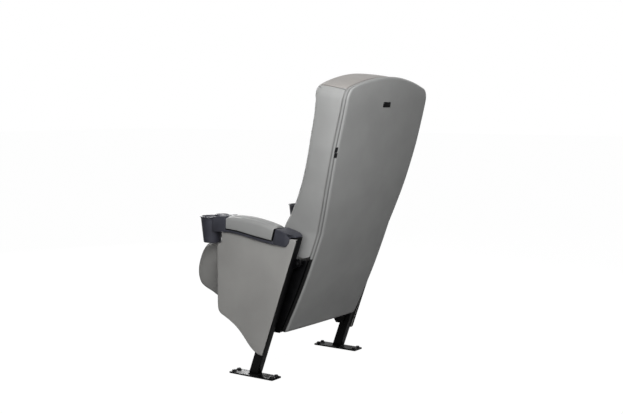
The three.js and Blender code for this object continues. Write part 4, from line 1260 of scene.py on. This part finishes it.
def side_panel_seam(sign):
    """Round the side panel of the back cushion: up its front edge and back over the shoulder."""
    path = []
    for z in np.linspace(CUSHION_LOW + 8, SIDE_PANEL_TOP, 60):
        height = float(cushion_height(z))
        path.append((sign * (shoulder_half(z) - 5), float(front_line(height)) + 7, height))
    for t in np.linspace(0.06, 1, 12):
        z = SIDE_PANEL_TOP + 6 * (1 - t)
        near, far = depth_ends(z)
        height = float(cushion_height(z))
        path.append((sign * shoulder_half(z), near + (far - near) * t, height + (z - height) * t))
    return place(path)


def mark_top_panel(obj):
    """Marks the top panel of the back cushion, which is sewn in above the side panels."""
    low_edge = float(cushion_height(TOP_PANEL_EDGE))
    near, far = depth_ends(TOP_PANEL_EDGE)
    points = coords(obj) * 1000
    share = np.clip((points[:, 1] - SHIFT * 1000 - near) / (far - near), 0, 1)
    edge = low_edge + (TOP_PANEL_EDGE - low_edge) * share
    attribute = obj.data.attributes.new("top", "FLOAT", "POINT")
    attribute.data.foreach_set("value", smoothstep(points[:, 2], edge - 1.5, edge + 1.5))


SEAT_MIDDLE = (-140, 335)
SEAT_SEAM_X = 216


def seat_seam(obj, sign):
    """Round the seat's section at one X, from under its nose over the top to its tail."""
    tree = surface(obj)
    centre = Vector(place([(sign * SEAT_SEAM_X, *SEAT_MIDDLE)])[0])
    rays = [(0, sin(t), cos(t)) for t in np.radians(np.arange(-118, 84, 2.5))]
    hits = [tree.ray_cast(centre, Vector(ray))[0] for ray in rays]
    return np.array([hit for hit in hits if hit is not None])


STITCH_GAP, SEAM_REACH = 0.0052, 0.012


def beside_path(obj, path, gap):
    """A path moved sideways over a surface by gap."""
    aside = np.cross(nearest(obj, path)[1], np.gradient(path, axis=0))
    aside /= np.maximum(norm(aside, axis=1), 1e-9)[:, None]
    return nearest(obj, path + gap * aside)[0]


def sewn(obj, paths, **stitch):
    """Sews seams and gives them as they lie on the surface."""
    paths = [nearest(obj, line_points(p, 0.004))[0] for p in paths]
    refine(obj, paths, SEAM_REACH)
    sew(obj, paths, **stitch)
    return paths


back_seams = sewn(
    back_cushion, [side_panel_seam(sign) for _, sign in SIDES],
    depth=0.0018, width=0.003, swell=0.0006, tone=1.0,
)
mark_top_panel(back_cushion)
seat_seams = sewn(
    seat_cushion, [seat_seam(seat_cushion, sign) for _, sign in SIDES],
    depth=0.0022, width=0.0026, swell=0.0008, tone=0.85,
)
for name, obj, body, paths in (
    ("back_stitches_side", back_cushion, "frame", back_seams),
    ("seat_stitches", seat_cushion, "seat", seat_seams),
):
    for (side, _), path in zip(SIDES, paths):
        stitches(f"{name}_{side}", obj, beside_path(obj, path, STITCH_GAP), body)

# ---- tag and plate


def slab(name, centre, axes, sizes, radius, bevel):
    """A flat black plate with rounded corners and softened edges, on any three axes."""
    w, h, t = (s / 2 for s in sizes)
    outline = []
    for cx, cy, start in ((1, 1, 0), (-1, 1, 90), (-1, -1, 180), (1, -1, 270)):
        turns = np.radians(start + 22.5 * np.arange(5))
        outline += arc(cx * (w - radius), cy * (h - radius), radius, turns)
    u, v, n = (np.array(a, float) / norm(a) for a in axes)
    edges = [(bevel * 0.4, -t), (0, -t + bevel * 0.4)]
    edges += arc(bevel, t - bevel, bevel, [pi - pi / 2 * k / 3 for k in range(4)])
    outline, centre = np.array(outline), np.array(centre)
    rings = [
        [centre + u * a + v * b + n * depth for a, b in offset_loop(outline, -inset)]
        for inset, depth in edges
    ]
    declare(lofted(name, rings, BLACK), "frame")


PLATE_X, PLATE_Z, PLATE_SIZE = 22.5, 1008.5, (47, 19, 2.2)
TAG_X, TAG_Y, TAG_LOW, TAG_HIGH, TAG_THICK = 275.8, 357, 824, 861, 2.8


def build_back_plate():
    slope = (back_line(PLATE_Z + 1) - back_line(PLATE_Z - 1)) / 2
    out = np.array([0, 1, -slope]) / hypot(1, slope)
    crown = OUTER_CROWN * (1 - (PLATE_X / half_at(PLATE_Z)) ** 2)
    centre = np.array([PLATE_X, back_line(PLATE_Z) + OUTER + crown, PLATE_Z]) + out * 0.6
    slab("back_plate", centre, ([1, 0, 0], [0, slope, 1], out), PLATE_SIZE, 1.5, 0.7)


build_back_plate()
for part, (share, tall) in enumerate(((0.25, 17), (0.75, 19))):
    centre = (TAG_X, TAG_Y + 5 * share, TAG_LOW + share * (TAG_HIGH - TAG_LOW))
    axes = ([0, 1, 0], [0, 0.3, 1], [1, 0, 0])
    slab(f"side_tag_{part + 1}", centre, axes, (12 - 2 * share, tall, TAG_THICK), 1, 0.6)

# ---- stage, lights and camera

FLOOR_HALF = 30
FLOOR_TONE, FLOOR_GLOW, FLOOR_GLOW_SHARE = 0.3, 1.12, 0.88
WORLD_LOW, WORLD_HIGH, WORLD_GLOSS, WORLD_SEEN = 0.012, 0.075, 0.4, 1.0
WHITE = (1, 1, 1, 1)


def build_stage():
    """Floor that the camera sees as white, with the object's shadow on it."""
    mesh = bpy.data.meshes.new("floor")
    corners = [(FLOOR_HALF * x, FLOOR_HALF * y, 0) for x, y in ((-1, -1), (1, -1), (1, 1), (-1, 1))]
    mesh.from_pydata(corners, [], [(0, 1, 2, 3)])
    floor = linked("floor", mesh)
    floor.location.z = -0.0004
    p = Paint("pale_floor", (FLOOR_TONE,) * 3, 0.9, specular=0.1)
    glow = p.add("ShaderNodeEmission", ("Color", WHITE), ("Strength", FLOOR_GLOW))
    seen = p.add("ShaderNodeLightPath", output="Is Camera Ray")
    share = p.add("ShaderNodeMath", (0, seen), (1, FLOOR_GLOW_SHARE), operation="MULTIPLY")
    mixed = p.add("ShaderNodeMixShader", (0, share), (1, p.shader.outputs[0]), (2, glow))
    fill(p.tree, p.tree.nodes["Material Output"], [("Surface", mixed)])
    floor.data.materials.append(p.mat)


def build_world():
    """Faint light, stronger from above, brighter in reflections and white to the camera."""
    world = scene.world = bpy.data.worlds.new("studio")
    world.use_nodes = True
    tree = world.node_tree
    path = new_node(tree, "ShaderNodeLightPath").outputs
    coord = new_node(tree, "ShaderNodeTexCoord").outputs["Generated"]
    height = new_node(tree, "ShaderNodeSeparateXYZ", [(0, coord)]).outputs["Z"]
    ends = range_inputs(-0.1, 0.9, WORLD_LOW, WORLD_HIGH)
    glow = new_node(tree, "ShaderNodeMapRange", [("Value", height), *ends]).outputs[0]
    for ray, strength in (("Is Glossy Ray", WORLD_GLOSS), ("Is Camera Ray", WORLD_SEEN)):
        inputs = [(0, path[ray]), (2, glow), (3, strength)]
        glow = new_node(tree, "ShaderNodeMix", inputs, data_type="FLOAT").outputs[0]
    fill(tree, tree.nodes["Background"], [("Color", WHITE), ("Strength", glow)])


# Each lamp's place, what it points at, the length of its sides in metres, and its watts.
LAMPS = {
    "key": ((1.3, 1.1, 1.45), (0.1, 0.1, 0.75), 0.7, 25.5),
    "high": ((0.9, 1.5, 1.9), (0.1, 0.2, 0.8), 0.6, 6.4),
    "low": ((1.9, 0.3, 1.0), (0.2, 0, 0.6), 0.8, 9),
    "top": ((0.3, 0.2, 2.6), (0, 0.1, 0.8), 0.9, 7),
    "front": ((-1.6, -2.8, 1.6), (0, 0, 0.6), 1.8, 78),
    "far": ((-2.6, 0.2, 1.5), (0, 0, 0.6), 1.2, 15),
}


def build_lamp(name, at, toward, size, power):
    light = bpy.data.lights.new(name, "AREA")
    adjust(light, shape="RECTANGLE", size=size, size_y=size, energy=power)
    lamp = linked(name, light)
    lamp.location = at
    lamp.rotation_euler = (Vector(toward) - Vector(at)).to_track_quat("-Z", "Y").to_euler()


CAMERA_AT = (3.2374, 2.3402 + SHIFT, 1.0069)
CAMERA_AZIMUTH, CAMERA_PITCH, CAMERA_LENS = radians(54.865), radians(5.666), 59.35


def build_camera():
    data = bpy.data.cameras.new("camera")
    adjust(data, sensor_width=36, lens=CAMERA_LENS, clip_start=0.1, clip_end=100)
    camera = linked("camera", data)
    x, y = (-turn(CAMERA_AZIMUTH) * cos(CAMERA_PITCH) for turn in (sin, cos))
    camera.location = CAMERA_AT
    camera.rotation_mode = "QUATERNION"
    ahead = Vector((x, y, -sin(CAMERA_PITCH)))
    camera.rotation_quaternion = ahead.to_track_quat("-Z", "Y")
    scene.camera = camera


build_stage()
build_world()
for name, lamp in LAMPS.items():
    build_lamp(name, *lamp)
scene.view_settings.view_transform = "Standard"
build_camera()
